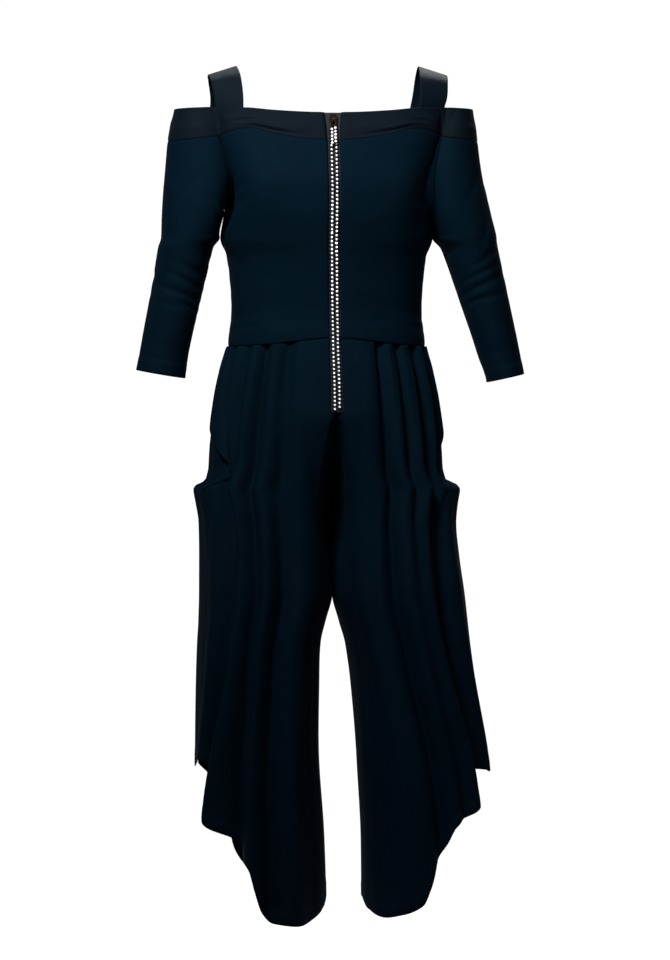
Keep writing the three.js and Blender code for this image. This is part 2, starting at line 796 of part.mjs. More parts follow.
const tapeFace = cloth + 0.85; // the tape's front, behind the cloth's face
const teethTop = sliderTop - sliderLength - 2; // they begin below the slider
for (const [word, side] of [['left', -1], ['right', 1]]) {
  const tape = zipStrip(side, halfSeam, tapeHidden, -tapeFace, zipTop, zipEnd - 1, tapeWall);
  addPiece(`zip_tape_${word}`, tape, tapeCloth);
  const depth = teethProud + tapeFace - seamGap;
  const teeth = zipStrip(side, halfSeam, teethWidth, teethProud, teethTop, zipEnd, depth);
  addPiece(`zip_teeth_${word}`, teeth, stones);
}

// Slider and pull: both lie along the slope of the chest, so they are made upright round the
// pull's axis and turned with a group.
const slider = {
  width: 13,
  plate: 4,
  arch: 3,
  archWall: 1.3,
  eye: 2.8,
  eyeLong: 4.6,
  aboveAxis: 12,
};
const pull = {
  width: 11.5,
  length: 38,
  wall: 1.6,
  bar: 1.6,
  window: 6.4,
  windowWide: 5.2,
  shoulder: 3,
};

const hinge = new THREE.Group();
const slope = Math.atan2(frontDepth(-125) - frontDepth(-80), 45);
const axisHeight = sliderTop - slider.aboveAxis;
const sliderBack = -frontDepth(axisHeight) + tapeFace - 2 * seamGap;
hinge.position.set(0, sliderBack - slider.plate - slider.eye / 2, axisHeight);
hinge.rotation.x = -slope;
jumpsuit.add(hinge);

// Turns a closed geometry into a solid that can be joined.
function solid(geometry) {
  geometry.deleteAttribute('normal');
  geometry.deleteAttribute('uv');
  const merged = BufferGeometryUtils.mergeVertices(geometry, 1e-4);
  const vertProperties = new Float32Array(merged.attributes.position.array);
  const triVerts = new Uint32Array(merged.index.array);
  return new wasm.Manifold(new wasm.Mesh({ numProp: 3, vertProperties, triVerts }));
}

function geometryOf(manifold) {
  const mesh = manifold.getMesh();
  const geometry = new THREE.BufferGeometry();
  geometry.setAttribute('position', new THREE.BufferAttribute(mesh.vertProperties, 3));
  geometry.setIndex(new THREE.BufferAttribute(mesh.triVerts, 1));
  geometry.computeVertexNormals();
  return geometry;
}

// The slider's plate is a shield, wide at the top. Its middle is the pull's axis.
function sliderPlate() {
  const half = slider.width / 2;
  const top = slider.aboveAxis;
  const outline = new THREE.Shape();
  outline.moveTo(-half * 0.62, top);
  outline.lineTo(half * 0.62, top);
  outline.quadraticCurveTo(half, top - 1, half, top - 6);
  outline.lineTo(half * 0.72, top - sliderLength);
  outline.lineTo(-half * 0.72, top - sliderLength);
  outline.lineTo(-half, top - 6);
  outline.quadraticCurveTo(-half, top - 1, -half * 0.62, top);
  const plate = new THREE.ExtrudeGeometry(outline, {
    depth: slider.plate,
    bevelEnabled: false,
    curveSegments: 3,
  });
  plate.rotateX(Math.PI / 2);
  plate.translate(0, slider.eye / 2 + slider.plate, 0);
  return plate;
}

// The arch stands on the plate, with its eye across for the pull's bar.
function sliderArch() {
  const rise = slider.eye / 2 + slider.archWall;
  const foot = slider.eyeLong / 2 + slider.archWall;
  const sunk = 0.4;
  const profile = new THREE.Shape();
  profile.moveTo(-foot - 1.2, -slider.eye / 2 - sunk);
  profile.lineTo(foot + 1.2, -slider.eye / 2 - sunk);
  profile.lineTo(foot, rise * 0.4);
  profile.quadraticCurveTo(foot - 0.6, rise, 0, rise);
  profile.quadraticCurveTo(-foot + 0.6, rise, -foot, rise * 0.4);
  profile.closePath();
  const eye = new THREE.Path();
  eye.absellipse(0, 0, slider.eyeLong / 2, slider.eye / 2, 0, 2 * Math.PI, true);
  profile.holes.push(eye);
  const arch = new THREE.ExtrudeGeometry(profile, {
    depth: slider.arch,
    bevelEnabled: false,
    curveSegments: 4,
  });
  arch.translate(0, 0, -slider.arch / 2);
  arch.rotateY(-Math.PI / 2);
  arch.rotateZ(Math.PI);
  return arch;
}

addPiece('zip_slider', geometryOf(solid(sliderPlate()).add(solid(sliderArch()))), gunmetal, hinge);

// The pull tab: a plate with a window near its top. The bar above the window runs through
// the slider's eye, and the arch stands in the window.
function pullTab() {
  const half = pull.width / 2;
  const top = pull.bar / 2;
  const outline = new THREE.Shape();
  outline.moveTo(-half * 0.72, top);
  outline.lineTo(half * 0.72, top);
  outline.quadraticCurveTo(half * 0.9, top - 1, half * 0.9, top - pull.shoulder);
  outline.lineTo(half, -pull.length + 4);
  outline.quadraticCurveTo(half, -pull.length, 0, -pull.length);
  outline.quadraticCurveTo(-half, -pull.length, -half, -pull.length + 4);
  outline.lineTo(-half * 0.9, top - pull.shoulder);
  outline.quadraticCurveTo(-half * 0.9, top - 1, -half * 0.72, top);
  const side = pull.windowWide / 2;
  const window = new THREE.Path();
  window.moveTo(-side, -top);
  window.lineTo(-side, -top - pull.window);
  window.lineTo(side, -top - pull.window);
  window.lineTo(side, -top);
  window.closePath();
  outline.holes.push(window);
  const tab = new THREE.ExtrudeGeometry(outline, { depth: pull.wall, bevelEnabled: false, curveSegments: 4 });
  tab.rotateX(Math.PI / 2);
  tab.translate(0, pull.wall / 2, 0);
  return tab;
}

addPiece('zip_pull', pullTab(), gunmetal, hinge);

export default jumpsuit;
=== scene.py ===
# %% [markdown]
# # A jersey jumpsuit, filled out as if worn
# The garment has a band round bare shoulders, two straps, fitted sleeves, a zip set with
# stones, and loose trousers that hang from pleats under a waist seam. Nobody is in it, so the
# cloth itself has to show the figure that fills it. Every panel here is a surface worked out
# from a few level sections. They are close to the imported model's, with finer folds on top.
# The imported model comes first, as a fixed frame that tells each piece its place.

import json
import math

import bmesh
import bpy
import numpy as np
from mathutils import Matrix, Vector


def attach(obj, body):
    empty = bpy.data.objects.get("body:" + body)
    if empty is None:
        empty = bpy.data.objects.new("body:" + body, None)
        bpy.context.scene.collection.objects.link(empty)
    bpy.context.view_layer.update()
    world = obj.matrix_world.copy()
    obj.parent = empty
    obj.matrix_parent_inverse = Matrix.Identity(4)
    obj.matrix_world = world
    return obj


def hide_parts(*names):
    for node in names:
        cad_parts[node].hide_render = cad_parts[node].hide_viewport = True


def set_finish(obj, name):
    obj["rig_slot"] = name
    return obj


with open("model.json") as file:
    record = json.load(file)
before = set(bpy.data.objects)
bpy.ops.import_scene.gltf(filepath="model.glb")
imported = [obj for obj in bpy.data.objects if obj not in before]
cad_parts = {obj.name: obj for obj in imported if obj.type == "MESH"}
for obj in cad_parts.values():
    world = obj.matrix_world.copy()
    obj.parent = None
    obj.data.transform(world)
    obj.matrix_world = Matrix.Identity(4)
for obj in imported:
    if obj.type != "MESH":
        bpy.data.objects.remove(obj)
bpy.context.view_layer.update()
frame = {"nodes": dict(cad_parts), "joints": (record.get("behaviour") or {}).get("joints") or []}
mm = 0.001  # tables are in millimetres, Blender works in metres
print("the frame holds", len(frame["nodes"]), "nodes")

# %% [markdown]
# ## Camera
# The photograph was taken level, from far off, and a little from the wearer's right. A long
# lens far away keeps upright edges upright. The picture is taller than it is wide, so the
# lens is worked out from the height that the frame has to hold.

# %% Make the camera
view_turn = math.radians(-6)  # from straight in front, towards the wearer's right
view_far = 24.0
view_height = 1.498  # of the picture, at the garment
view_across = 0.0133  # the picture's middle, to the right of the zip
view_up = -0.646  # and below the shoulders


def make_camera():
    """A camera turned about the upright axis: it stands at the middle of the picture plus
    the far distance along (sin turn, -cos turn), and looks back."""
    data = bpy.data.cameras.new("camera")
    camera = bpy.data.objects.new("camera", data)
    bpy.context.scene.collection.objects.link(camera)
    back = Vector((math.sin(view_turn), -math.cos(view_turn), 0))
    right = Vector((math.cos(view_turn), math.sin(view_turn), 0))
    camera.location = right * view_across + Vector((0, 0, view_up)) + back * view_far
    camera.rotation_euler = (math.radians(90), 0, view_turn)
    data.sensor_width = 36
    data.lens = data.sensor_width * view_far / view_height
    bpy.context.scene.camera = camera
    return camera


camera = make_camera()
print("lens", round(camera.data.lens), "mm")

# %% [markdown]
# ## Floor and light
# Black cloth gives back almost nothing, so its folds only show where one side of the room is
# brighter than the other. A soft light stands high in front, nearer the shoulders than the
# legs, which leaves the legs darker. A weak one fills the other side, one behind shows the
# back, and the rest of the room gives the cloth very little. The floor and the room still look
# white, and the metal and the stones mirror a white room.

# %% Make the floor and the lights
floor_level = -1.46
floor_reach = 7.0


def seen_share(tree, camera_share, gloss_share, rest):
    """A strength that depends on what asks for it: the rest for soft light, more by one share
    for a mirror and by another for the camera."""
    path = tree.nodes.new("ShaderNodeLightPath").outputs
    mirrored = tree.nodes.new("ShaderNodeMath")
    mirrored.operation = "MULTIPLY_ADD"
    tree.links.new(path["Is Glossy Ray"], mirrored.inputs[0])
    mirrored.inputs[1].default_value = gloss_share
    mirrored.inputs[2].default_value = rest
    seen = tree.nodes.new("ShaderNodeMath")
    seen.operation = "MULTIPLY_ADD"
    tree.links.new(path["Is Camera Ray"], seen.inputs[0])
    seen.inputs[1].default_value = camera_share
    tree.links.new(mirrored.outputs["Value"], seen.inputs[2])
    return seen.outputs["Value"]


def make_floor():
    """A round floor: a ring of points about its middle, and one face."""
    turn = np.linspace(0, 2 * np.pi, 96, endpoint=False)
    rim = [(floor_reach * math.cos(a), floor_reach * math.sin(a), floor_level) for a in turn]
    mesh = bpy.data.meshes.new("floor")
    mesh.from_pydata(rim, [], [list(range(len(rim)))])
    floor = bpy.data.objects.new("floor", mesh)
    bpy.context.scene.collection.objects.link(floor)
    material = bpy.data.materials.new("pale floor")
    material.use_nodes = True
    tree = material.node_tree
    surface = tree.nodes["Principled BSDF"]
    surface.inputs["Base Color"].default_value = (0.7, 0.7, 0.7, 1)
    surface.inputs["Roughness"].default_value = 0.9
    surface.inputs["Specular IOR Level"].default_value = 0.0
    surface.inputs["Emission Color"].default_value = (1, 1, 1, 1)
    tree.links.new(seen_share(tree, 0.97, 0.5, 0.0), surface.inputs["Emission Strength"])
    mesh.materials.append(material)


def add_light(name, place, aim, size, watts, spread=180):
    """A square soft light that faces its aim. A smaller spread keeps its light together."""
    data = bpy.data.lights.new(name, "AREA")
    data.size = size
    data.energy = watts
    data.spread = math.radians(spread)
    light = bpy.data.objects.new(name, data)
    bpy.context.scene.collection.objects.link(light)
    light.location = place
    towards = Vector(aim) - Vector(place)
    light.rotation_euler = towards.to_track_quat("-Z", "Y").to_euler()


make_floor()
add_light("key", (-0.8, -1.5, 1.25), (0, 0, 0.03), 0.6, 76, spread=66)
add_light("fill", (1.5, -1.8, 0.7), (0, 0, -0.1), 0.9, 6, spread=84)
add_light("behind", (0.6, 1.7, 1.9), (0, 0, -0.2), 1.0, 100, spread=80)
world = bpy.data.worlds.new("room")
world.use_nodes = True
room = world.node_tree
room.nodes["Background"].inputs["Color"].default_value = (1, 1, 1, 1)
room.links.new(seen_share(room, 1.0, 0.75, 0.03), room.nodes["Background"].inputs["Strength"])
bpy.context.scene.world = world
bpy.context.scene.view_settings.view_transform = "Standard"
print("floor at", floor_level, "m")

# %% [markdown]
# ## Reading a table
# A tailor notes a few measures at a few heights, and the cloth runs smoothly between them.
# The same is done here: a table has a row for each height, and a curve is read through one of
# its columns. A plain cubic spline would swing past its points and make bumps, so the slope at
# a row is held back to the harmonic mean of the slopes beside it.

# %% Read a smooth curve through a table


def table(columns, rows):
    """Rows of sizes as one array for each named column."""
    return dict(zip(columns.split(), np.array(rows, float).T))


def read(rows, key, column, at):
    """The column's value at a height or turn. Between two rows it is the cubic that meets
    both with slopes of 2ab/(a+b), a and b being the straight slopes on the row's two sides,
    or zero where they differ in sign. The end rows hold beyond the ends."""
    x = rows[key]
    y = rows[column]
    if x[0] > x[-1]:
        x = x[::-1]
        y = y[::-1]
    step = np.diff(y) / np.diff(x)
    product = step[:-1] * step[1:]
    total = np.where(product > 0, step[:-1] + step[1:], 1)
    slope = np.zeros_like(y)
    slope[1:-1] = np.where(product > 0, 2 * product / total, 0)
    at = np.clip(at, x[0], x[-1])
    i = np.clip(np.searchsorted(x, at, side="right") - 1, 0, len(x) - 2)
    span = x[i + 1] - x[i]
    f = (at - x[i]) / span
    ends = (2 * f**3 - 3 * f**2 + 1) * y[i] + (3 * f**2 - 2 * f**3) * y[i + 1]
    return ends + ((f**3 - 2 * f**2 + f) * slope[i] + (f**3 - f**2) * slope[i + 1]) * span


def mix(a, b, f):
    """a where f is 0, b where it is 1, and straight between them."""
    return a + (b - a) * f


def at_heights(values, heights, z):
    """The smooth curve through a few values that stand at the given heights."""
    return read({"z": np.array(heights, float), "value": np.array(values, float)}, "z", "value", z)


def bell(off):
    """A soft hump of height 1 at zero: e to the power of minus off squared."""
    return np.exp(-(off**2))


def points_of(x, y, z):
    """Three arrays as one array of points."""
    return np.stack(np.broadcast_arrays(x, y, z), -1).astype(float)


print("a curve reads", round(float(read(table("z x", [[0, 0], [1, 1], [2, 1]]), "z", "x", 0.5)), 3))

# %% [markdown]
# ## From a grid of points to a piece of cloth
# A panel is a grid of points on its outer face. Cloth has a thickness, and it shows at hems
# and at the neck, so the same grid is laid again a little inside and the two are joined by a
# rounded rim. Along a seam the cloth dives into the stitching, so the face sinks within a few
# millimetres of a sewn edge. Along a hem the cloth is double, so it stands out a little as far
# up as its stitching. Blender's Solidify could give the wall, but not those two edges.
#
# The panel also gets a map of itself, in metres across and down the cloth, and its distance
# from hem and seam. The weave, the stitches and a painted shade along the seams are drawn from these, so
# they follow the cloth.

# %% Turn a grid into a closed shell
cloth_wall = 1.3
packed_wall = 1.8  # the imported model's cloth, which is a little thicker
hem_deep = 20
hem_proud = 0.55
hem_step = 1.2  # how softly the doubled cloth of a hem ends
seam_sink = 1.1
stitch_reach = 2.2
rim_round = 0.4
sewn_rim = 0.1  # the share of the rim's roundness that is left at a sewn edge
far_off = 1e3  # stands for the distance to an edge that is not there
sides = {"left": -1, "right": 1}  # the viewer's left and right


def outward(points, side):
    """Unit normals: the cross product of the steps down and across, side 1 or -1."""
    across = np.gradient(points, axis=1)
    down = np.gradient(points, axis=0)
    normal = side * np.cross(down, across)
    return normal / np.maximum(np.linalg.norm(normal, axis=-1, keepdims=True), 1e-9)


def along(points, axis):
    """Distance from the first row or column, added up step by step along the cloth."""
    steps = np.linalg.norm(np.diff(points, axis=axis), axis=-1)
    return np.insert(np.cumsum(steps, axis=axis), 0, 0, axis=axis)


def edge_distances(points):
    """Distance of each point from the left, right, top and bottom edge."""
    across = along(points, 1)
    down = along(points, 0)
    return {
        "left": across,
        "right": across[:, -1:] - across,
        "top": down,
        "bottom": down[-1:] - down,
    }


def work_edges(points, side, sewn, hemmed):
    """The face with sunken seams and doubled hems: each point moves out by minus sink times
    e to the power of -distance/reach for a seam, and out by a fixed height along a hem."""
    far = edge_distances(points)
    none = np.full(points.shape[:2], far_off)
    seam = np.min([none] + [far[edge] for edge in sewn], axis=0)
    hem = np.min([none] + [far[edge] for edge in hemmed], axis=0)
    lift = -seam_sink * np.exp(-seam / stitch_reach)
    lift += hem_proud / (1 + np.exp((hem - hem_deep) / hem_step))
    return points + outward(points, side) * lift[..., None], seam, hem


def rim_of(rows, columns):
    """The grid's edge as one loop of point numbers, with the number of the point next to
    each on the inside."""
    row, column = np.divmod(np.arange(rows * columns), columns)
    top = np.arange(columns - 1)
    right = np.arange(rows - 1) * columns + columns - 1
    bottom = (rows - 1) * columns + np.arange(columns - 1, 0, -1)
    left = np.arange(rows - 1, 0, -1) * columns
    loop = np.concatenate([top, right, bottom, left])
    near_row = np.clip(row[loop], 1, rows - 2)
    near_column = np.clip(column[loop], 1, columns - 2)
    return loop, near_row * columns + near_column


def shell(name, points, side, sewn=(), hemmed=(), wall=cloth_wall):
    """A closed piece of cloth from its outer face. points is rows by columns by 3, in
    millimetres. The inner face is the outer one less the wall along its normals, and the rim
    is a half round from one to the other."""
    face, seam, hem = work_edges(points, side, sewn, hemmed)
    rows, columns = face.shape[:2]
    inner = face - outward(face, side) * wall
    loop, near = rim_of(rows, columns)
    flat = face.reshape(-1, 3)
    flat_inner = inner.reshape(-1, 3)
    beyond = flat[loop] - flat[near]
    beyond /= np.maximum(np.linalg.norm(beyond, axis=-1, keepdims=True), 1e-9)
    free = np.clip(seam.reshape(-1)[loop] / stitch_reach, sewn_rim, 1)[:, None]
    rim = (flat[loop] + flat_inner[loop]) / 2 + beyond * free * wall * rim_round
    vertices = np.concatenate([flat, flat_inner, rim])
    count = rows * columns
    r, c = np.meshgrid(np.arange(rows - 1), np.arange(columns - 1), indexing="ij")
    a = (r * columns + c).ravel()
    quads = np.stack([a, a + columns, a + columns + 1, a + 1], -1)
    after = np.roll(loop, -1)
    on_rim = 2 * count + np.arange(len(loop))
    next_on_rim = np.roll(on_rim, -1)
    outer_rim = np.stack([loop, after, next_on_rim, on_rim], -1)
    inner_rim = np.stack([on_rim, next_on_rim, count + after, count + loop], -1)
    faces = np.concatenate([quads, quads[:, ::-1] + count, outer_rim, inner_rim])
    if side < 0:
        faces = faces[:, ::-1]
    values = {"seam": seam, "hem": hem}
    across = along(points, 1)
    cloth_map = np.stack([across - across[:, columns // 2][:, None], -along(points, 0)], -1)
    return make_piece(name, vertices, faces, loop, cloth_map, values)


def make_piece(name, vertices, faces, loop, cloth_map, values):
    """A mesh object from arrays, with the cloth's map and its distances on every point."""
    mesh = bpy.data.meshes.new(name)
    mesh.vertices.add(len(vertices))
    mesh.vertices.foreach_set("co", (vertices * mm).astype(np.float32).ravel())
    mesh.loops.add(faces.size)
    mesh.loops.foreach_set("vertex_index", faces.astype(np.int32).ravel())
    mesh.polygons.add(len(faces))
    mesh.polygons.foreach_set("loop_start", np.arange(0, faces.size, 4, dtype=np.int32))
    mesh.update(calc_edges=True)
    mesh.validate()
    mesh.shade_smooth()

    def on_all(grid):
        flat = grid.reshape(-1, *grid.shape[2:])
        return np.concatenate([flat, flat, flat[loop]]) * mm

    for word, grid in values.items():
        attribute = mesh.attributes.new(word, "FLOAT", "POINT")
        attribute.data.foreach_set("value", on_all(grid).astype(np.float32))
    layer = mesh.uv_layers.new(name="cloth")
    corners = np.zeros(len(mesh.loops), np.int32)
    mesh.loops.foreach_get("vertex_index", corners)
    layer.data.foreach_set("uv", on_all(cloth_map)[corners].astype(np.float32).ravel())
    piece = bpy.data.objects.new(name, mesh)
    bpy.context.scene.collection.objects.link(piece)
    return piece


def places(count, crowd=0.0):
    """Places from 0 to 1. crowd, up to 1, draws them towards both ends, where seams are."""
    even = np.linspace(0, 1, count)
    return mix(even, 0.5 - 0.5 * np.cos(np.pi * even), crowd)


print("cloth", cloth_wall, "mm, hems", hem_deep, "mm deep")

# %% [markdown]
# ## The figure: level sections of the upper body
# Cut level, a filled bodice is neither an ellipse nor a box. A superellipse lies between: its
# power flattens front and back as it grows, which suits the chest at the top and the waist
# below. A hump on each side is the bust.

# %% Upper body
waist_side = -437
waist_front = -425
armpit = -268
tape_half = 9.3  # from the zip's middle to the cloth's edge
half_seam = 0.15  # half of the space between two edges that are sewn together
tucked = 0.7  # the upper panel's edge goes on under the lower one's by this much
body_sections = table("z half front back square aside", [
    [-60, 190, 92, 103, 3.0, 0],
    [-100, 186, 103, 107, 2.9, 0],
    [-140, 177, 114, 109, 2.7, 0],
    [-190, 168, 124, 109, 2.5, 0],
    [-228, 166, 123, 106, 2.4, 0],
    [-268, 166, 116, 102, 2.3, 0],
    [-300, 156, 109, 98, 2.2, 1],
    [-340, 151, 103, 96, 2.2, 2],
    [-380, 149, 101, 97, 2.1, 2.5],
    [-437, 154, 105, 104, 2.1, 3],
])
bust = {"angle": 38, "z": -196, "across": 16, "up": 52, "proud": 9}
armholes = table("z front back", [
    [-60, 67, 64],
    [-110, 67, 64],
    [-165, 66, 63],
    [-205, 68, 66],
    [-232, 72, 71],
    [-250, 78, 77],
    [-262, 84, 84],
    [-268, 90, 90],
])
band_seams = table("angle top band waist", [
    [0, -74, -116, waist_front],
    [18, -71, -108, -429],
    [36, -67, -98, -434],
    [67, -66, -110, waist_side],
    [90, -68, -118, waist_side],
    [116, -72, -110, waist_side],
    [150, -76, -112, -436],
    [180, -78, -114, -435],
])
armhole_front = 67
armhole_back = 116


def body_point(side, angle, z):
    """A point of the upper body, angle degrees round from the zip: x = half sin^(2/square),
    y = -depth cos^(2/square), less the bust's hump."""
    power = 2 / read(body_sections, "z", "square", z)
    cosine = np.cos(np.radians(angle))
    depth = np.where(
        cosine > 0,
        read(body_sections, "z", "front", z),
        read(body_sections, "z", "back", z),
    )
    swell = bust["proud"] * bell((angle - bust["angle"]) / bust["across"])
    swell = swell * bell((z - bust["z"]) / bust["up"])
    x = read(body_sections, "z", "half", z) * np.abs(np.sin(np.radians(angle))) ** power
    aside = read(body_sections, "z", "aside", z) * np.maximum(cosine, 0) ** 2
    y = -np.sign(cosine) * np.abs(cosine) ** power * depth
    return points_of(side * x + aside, y - swell, z)


def angle_across(distance, z):
    """The angle at which an edge stands a given distance from the zip's middle."""
    power = 2 / read(body_sections, "z", "square", z)
    share = distance / read(body_sections, "z", "half", z)
    return np.degrees(np.arcsin(share ** (1 / power)))


def armhole_angle(z, front):
    """Where the armhole's seam stands round the body, in front or behind."""
    if front:
        return read(armholes, "z", "front", z)
    return 180 - read(armholes, "z", "back", z)


def band_seam(angle):
    return read(band_seams, "angle", "band", angle)


def waist_seam(angle):
    return read(band_seams, "angle", "waist", angle)


print("waist", round(2 * float(read(body_sections, "z", "half", -437))), "mm across")

# %% [markdown]
# ## Bodice
# Two front panels meet at the zip and one panel makes the back. They are cut close, so the
# cloth lies smooth and only breaks where it is pulled: a few shallow folds run from the
# underarm towards the bust, and soft level ones cross the small of the back, where the cloth
# is longer than the figure. Each such crease is a hump of cloth that dies away along its line.

# %% Bodice panels
bodice_creases = table("angle z slope reach tall deep", [
    [62, -176, -1.6, 11, 5, -1.5],
    [60, -196, -1.1, 12, 5, -1.3],
    [63, -217, -0.6, 13, 6, -1.5],
    [70, -244, -0.2, 14, 6, -1.2],
    [76, -300, 0.5, 20, 8, -0.9],
    [72, -392, -0.3, 24, 6, -1.1],
    [66, -409, -0.2, 22, 5, -0.9],
    [30, -398, 0.15, 20, 6, -0.5],
    [112, -300, -0.6, 20, 7, -1.4],
    [118, -330, -0.5, 24, 7, -1.6],
    [126, -362, -0.4, 30, 8, -1.9],
    [140, -385, -0.3, 34, 7, -1.7],
    [150, -410, -0.1, 32, 6, -1.3],
    [120, -200, -1.4, 14, 7, -1.4],
    [128, -160, -1.8, 14, 7, -1.1],
])


def lines_of(creases, across, z, key):
    """The depth of slanting creases: for each, deep times a bell along it and a bell across
    it, whose middle line falls by its slope for every step across."""
    total = 0
    for i in range(len(creases["z"])):
        off = across - creases[key][i]
        line = creases["z"][i] + off * creases["slope"][i]
        near = bell(off / creases["reach"][i]) * bell((z - line) / creases["tall"][i])
        total = total + creases["deep"][i] * near
    return total


def bodice_face(side, angle, z):
    """The figure's surface with the bodice's creases pressed in."""
    lift = lines_of(bodice_creases, angle, z, "angle")
    points = body_point(side, angle, z)
    return points + outward(points, side) * lift[..., None]


underarm = {"z": -208, "up": 52, "deep": 7, "degrees": 6, "share": 0.06}
all_edges = ("left", "right", "top", "bottom")


def underarm_hollow(off, z):
    """The cloth sinks towards the front armhole seam where the arm meets the chest. The place
    off the seam is a share of so many degrees round the body, or of the way round the arm."""
    return -underarm["deep"] * bell(off) * bell((z - underarm["z"]) / underarm["up"])


def seam_trim(z):
    """The space left to the armhole's seam, and the lap at the side seam, in degrees."""
    return np.where(z > armpit, 0.16, -0.08)


def bodice_front(side):
    """From the zip's edge to the armhole's seam and, below the armpit, to the side seam."""
    s, t = np.meshgrid(places(84, 0.5), places(150, 0.3))
    z = mix(band_seam(s * armhole_front) - half_seam, waist_seam(s * 90) - tucked, t)
    start = angle_across(tape_half, z)
    seam = armhole_angle(z, True)
    angle = mix(start, seam - seam_trim(z), s)
    points = bodice_face(side, angle, z)
    hollow = underarm_hollow((angle - seam) / underarm["degrees"], z)
    return points + outward(points, side) * hollow[..., None]


def bodice_back():
    """One panel: the angle goes from the wearer's left side to the middle, then mirrors."""
    s, t = np.meshgrid(places(150, 0.4), places(140, 0.3))
    across = np.abs(2 * s - 1)
    top = band_seam(mix(180, armhole_back, across)) - half_seam
    z = mix(top, waist_seam(180 - across * 90) - tucked, t)
    angle = mix(180, armhole_angle(z, False) + seam_trim(z), across)
    points = body_point(1, angle, z)
    points[..., 0] *= np.where(s < 0.5, 1, -1)
    lift = lines_of(bodice_creases, angle, z, "angle")
    return points + outward(points, 1) * lift[..., None]


sewn_pieces = []


def sew_in(node_name, points, side, sewn=(), hemmed=(), wall=cloth_wall):
    """A panel is made from its grid and takes its node's place on the garment's one body."""
    piece = shell(node_name + "_cloth", points, side, sewn, hemmed, wall)
    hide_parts(node_name)
    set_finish(piece, "jersey")
    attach(piece, "root")
    sewn_pieces.append(piece)
    print(piece.name, len(piece.data.polygons), "faces")


for word, side in sides.items():
    sew_in(f"bodice_front_{word}", bodice_front(side), side, all_edges)
sew_in("bodice_back", bodice_back(), 1, all_edges)

# %% [markdown]
# ## Sleeves
# A filled sleeve is a tube whose level section is an ellipse. Above the armpit that ellipse
# opens towards the body, and its two ends land on the armhole seams. The arm is a little bent,
# so the cloth breaks into slanting creases at the elbow: deep short ones inside the bend, and
# longer flat ones outside it.

# %% Sleeve panels
sleeve_sections = {
    -1: table("z outside inside deep", [
        [-60, 242, 168, 57],
        [-118, 249, 168, 62],
        [-165, 253, 168, 68],
        [-200, 256, 168, 70],
        [-235, 258, 168, 69],
        [-268, 259, 166.4, 66],
        [-284, 264, 177, 63],
        [-303, 267, 182, 60],
        [-340, 273, 191, 55],
        [-378, 280, 200, 52],
        [-415, 287, 209, 49],
        [-455, 294, 217, 47],
        [-495, 300, 222, 46],
    ]),
    1: table("z outside inside deep", [
        [-60, 232, 168, 57],
        [-118, 237, 168, 62],
        [-165, 243, 168, 68],
        [-200, 251, 168, 70],
        [-235, 259, 168, 69],
        [-268, 267, 166.4, 66],
        [-284, 269, 179, 63],
        [-303, 273, 187, 60],
        [-340, 281, 200, 55],
        [-378, 289, 213, 52],
        [-415, 297, 226, 49],
        [-455, 305, 239, 47],
        [-495, 311, 252, 46],
    ]),
}
cuffs = {-1: {"outside": -474, "inside": -487}, 1: {"outside": -480, "inside": -493}}
crease_words = "turn z slope reach tall deep"
outer_creases = [
    [240, -334, -0.12, 55, 7, -3.2],
    [255, -366, -0.14, 50, 7, -3.0],
    [285, -348, -0.10, 34, 5, -2.2],
    [250, -300, -0.20, 44, 7, -2.0],
    [300, -260, -0.50, 36, 9, -1.8],
]
sleeve_creases = {
    -1: table(crease_words, [
        [60, -322, 0.32, 42, 5.5, -2.6],
        [75, -338, 0.30, 50, 4.5, -2.8],
        [85, -356, 0.22, 60, 5.5, -3.4],
        [60, -376, 0.26, 40, 4.5, -2.6],
        [110, -372, 0.18, 36, 4, -1.6],
        [30, -300, 0.30, 34, 6, -2.0],
        [40, -250, 0.50, 30, 8, -1.8],
        [70, -215, 0.45, 34, 9, -1.2],
        [118, -190, -0.9, 30, 12, -1.2],
        *outer_creases,
        [90, -440, 0.10, 60, 9, -0.8],
    ]),
    1: table(crease_words, [
        [120, -296, 0.42, 44, 6, -2.6],
        [95, -322, 0.30, 46, 4.5, -2.8],
        [80, -344, 0.30, 52, 5, -3.4],
        [60, -366, 0.22, 40, 4.5, -2.6],
        [100, -360, 0.16, 34, 4, -1.6],
        [135, -250, 1.10, 26, 9, -2.2],
        [148, -216, 1.30, 24, 9, -2.0],
        [128, -190, 1.00, 24, 9, -1.4],
        [30, -292, 0.30, 34, 6, -2.0],
        *outer_creases,
        [90, -446, 0.10, 60, 9, -0.8],
    ]),
}


def sleeve_end(rows, z, behind, deep):
    """Where one end of the section starts: whole below the armpit, and on the armhole seam
    above it. The start is the arc sine of how far the section stands open."""
    seam = body_point(1, armhole_angle(z, not behind), z)
    open_by = np.maximum(half_seam, np.minimum(np.abs(seam[..., 1]), deep - 0.5))
    whole = z <= armpit
    inside = np.where(whole, read(rows, "z", "inside", z), seam[..., 0] + 2 * half_seam)
    start = np.arcsin(np.where(whole, half_seam, open_by) / deep)
    return inside, start


def sleeve_point(side, s, z):
    """A point of the sleeve at s from 0 to 1 round it: an ellipse, x = outside - reach -
    reach cos(turn) and y = -deep sin(turn)."""
    rows = sleeve_sections[side]
    deep = read(rows, "z", "deep", z)
    front_inside, front_start = sleeve_end(rows, z, False, deep)
    back_inside, back_start = sleeve_end(rows, z, True, deep)
    turn = mix(front_start, 2 * np.pi - back_start, s)
    in_front = turn < np.pi
    inside = np.where(in_front, front_inside, back_inside)
    start = np.where(in_front, front_start, back_start)
    outside = read(rows, "z", "outside", z)
    reach = (outside - inside) / (1 + np.cos(start))
    return points_of(side * (outside - reach - reach * np.cos(turn)), -deep * np.sin(turn), z), turn


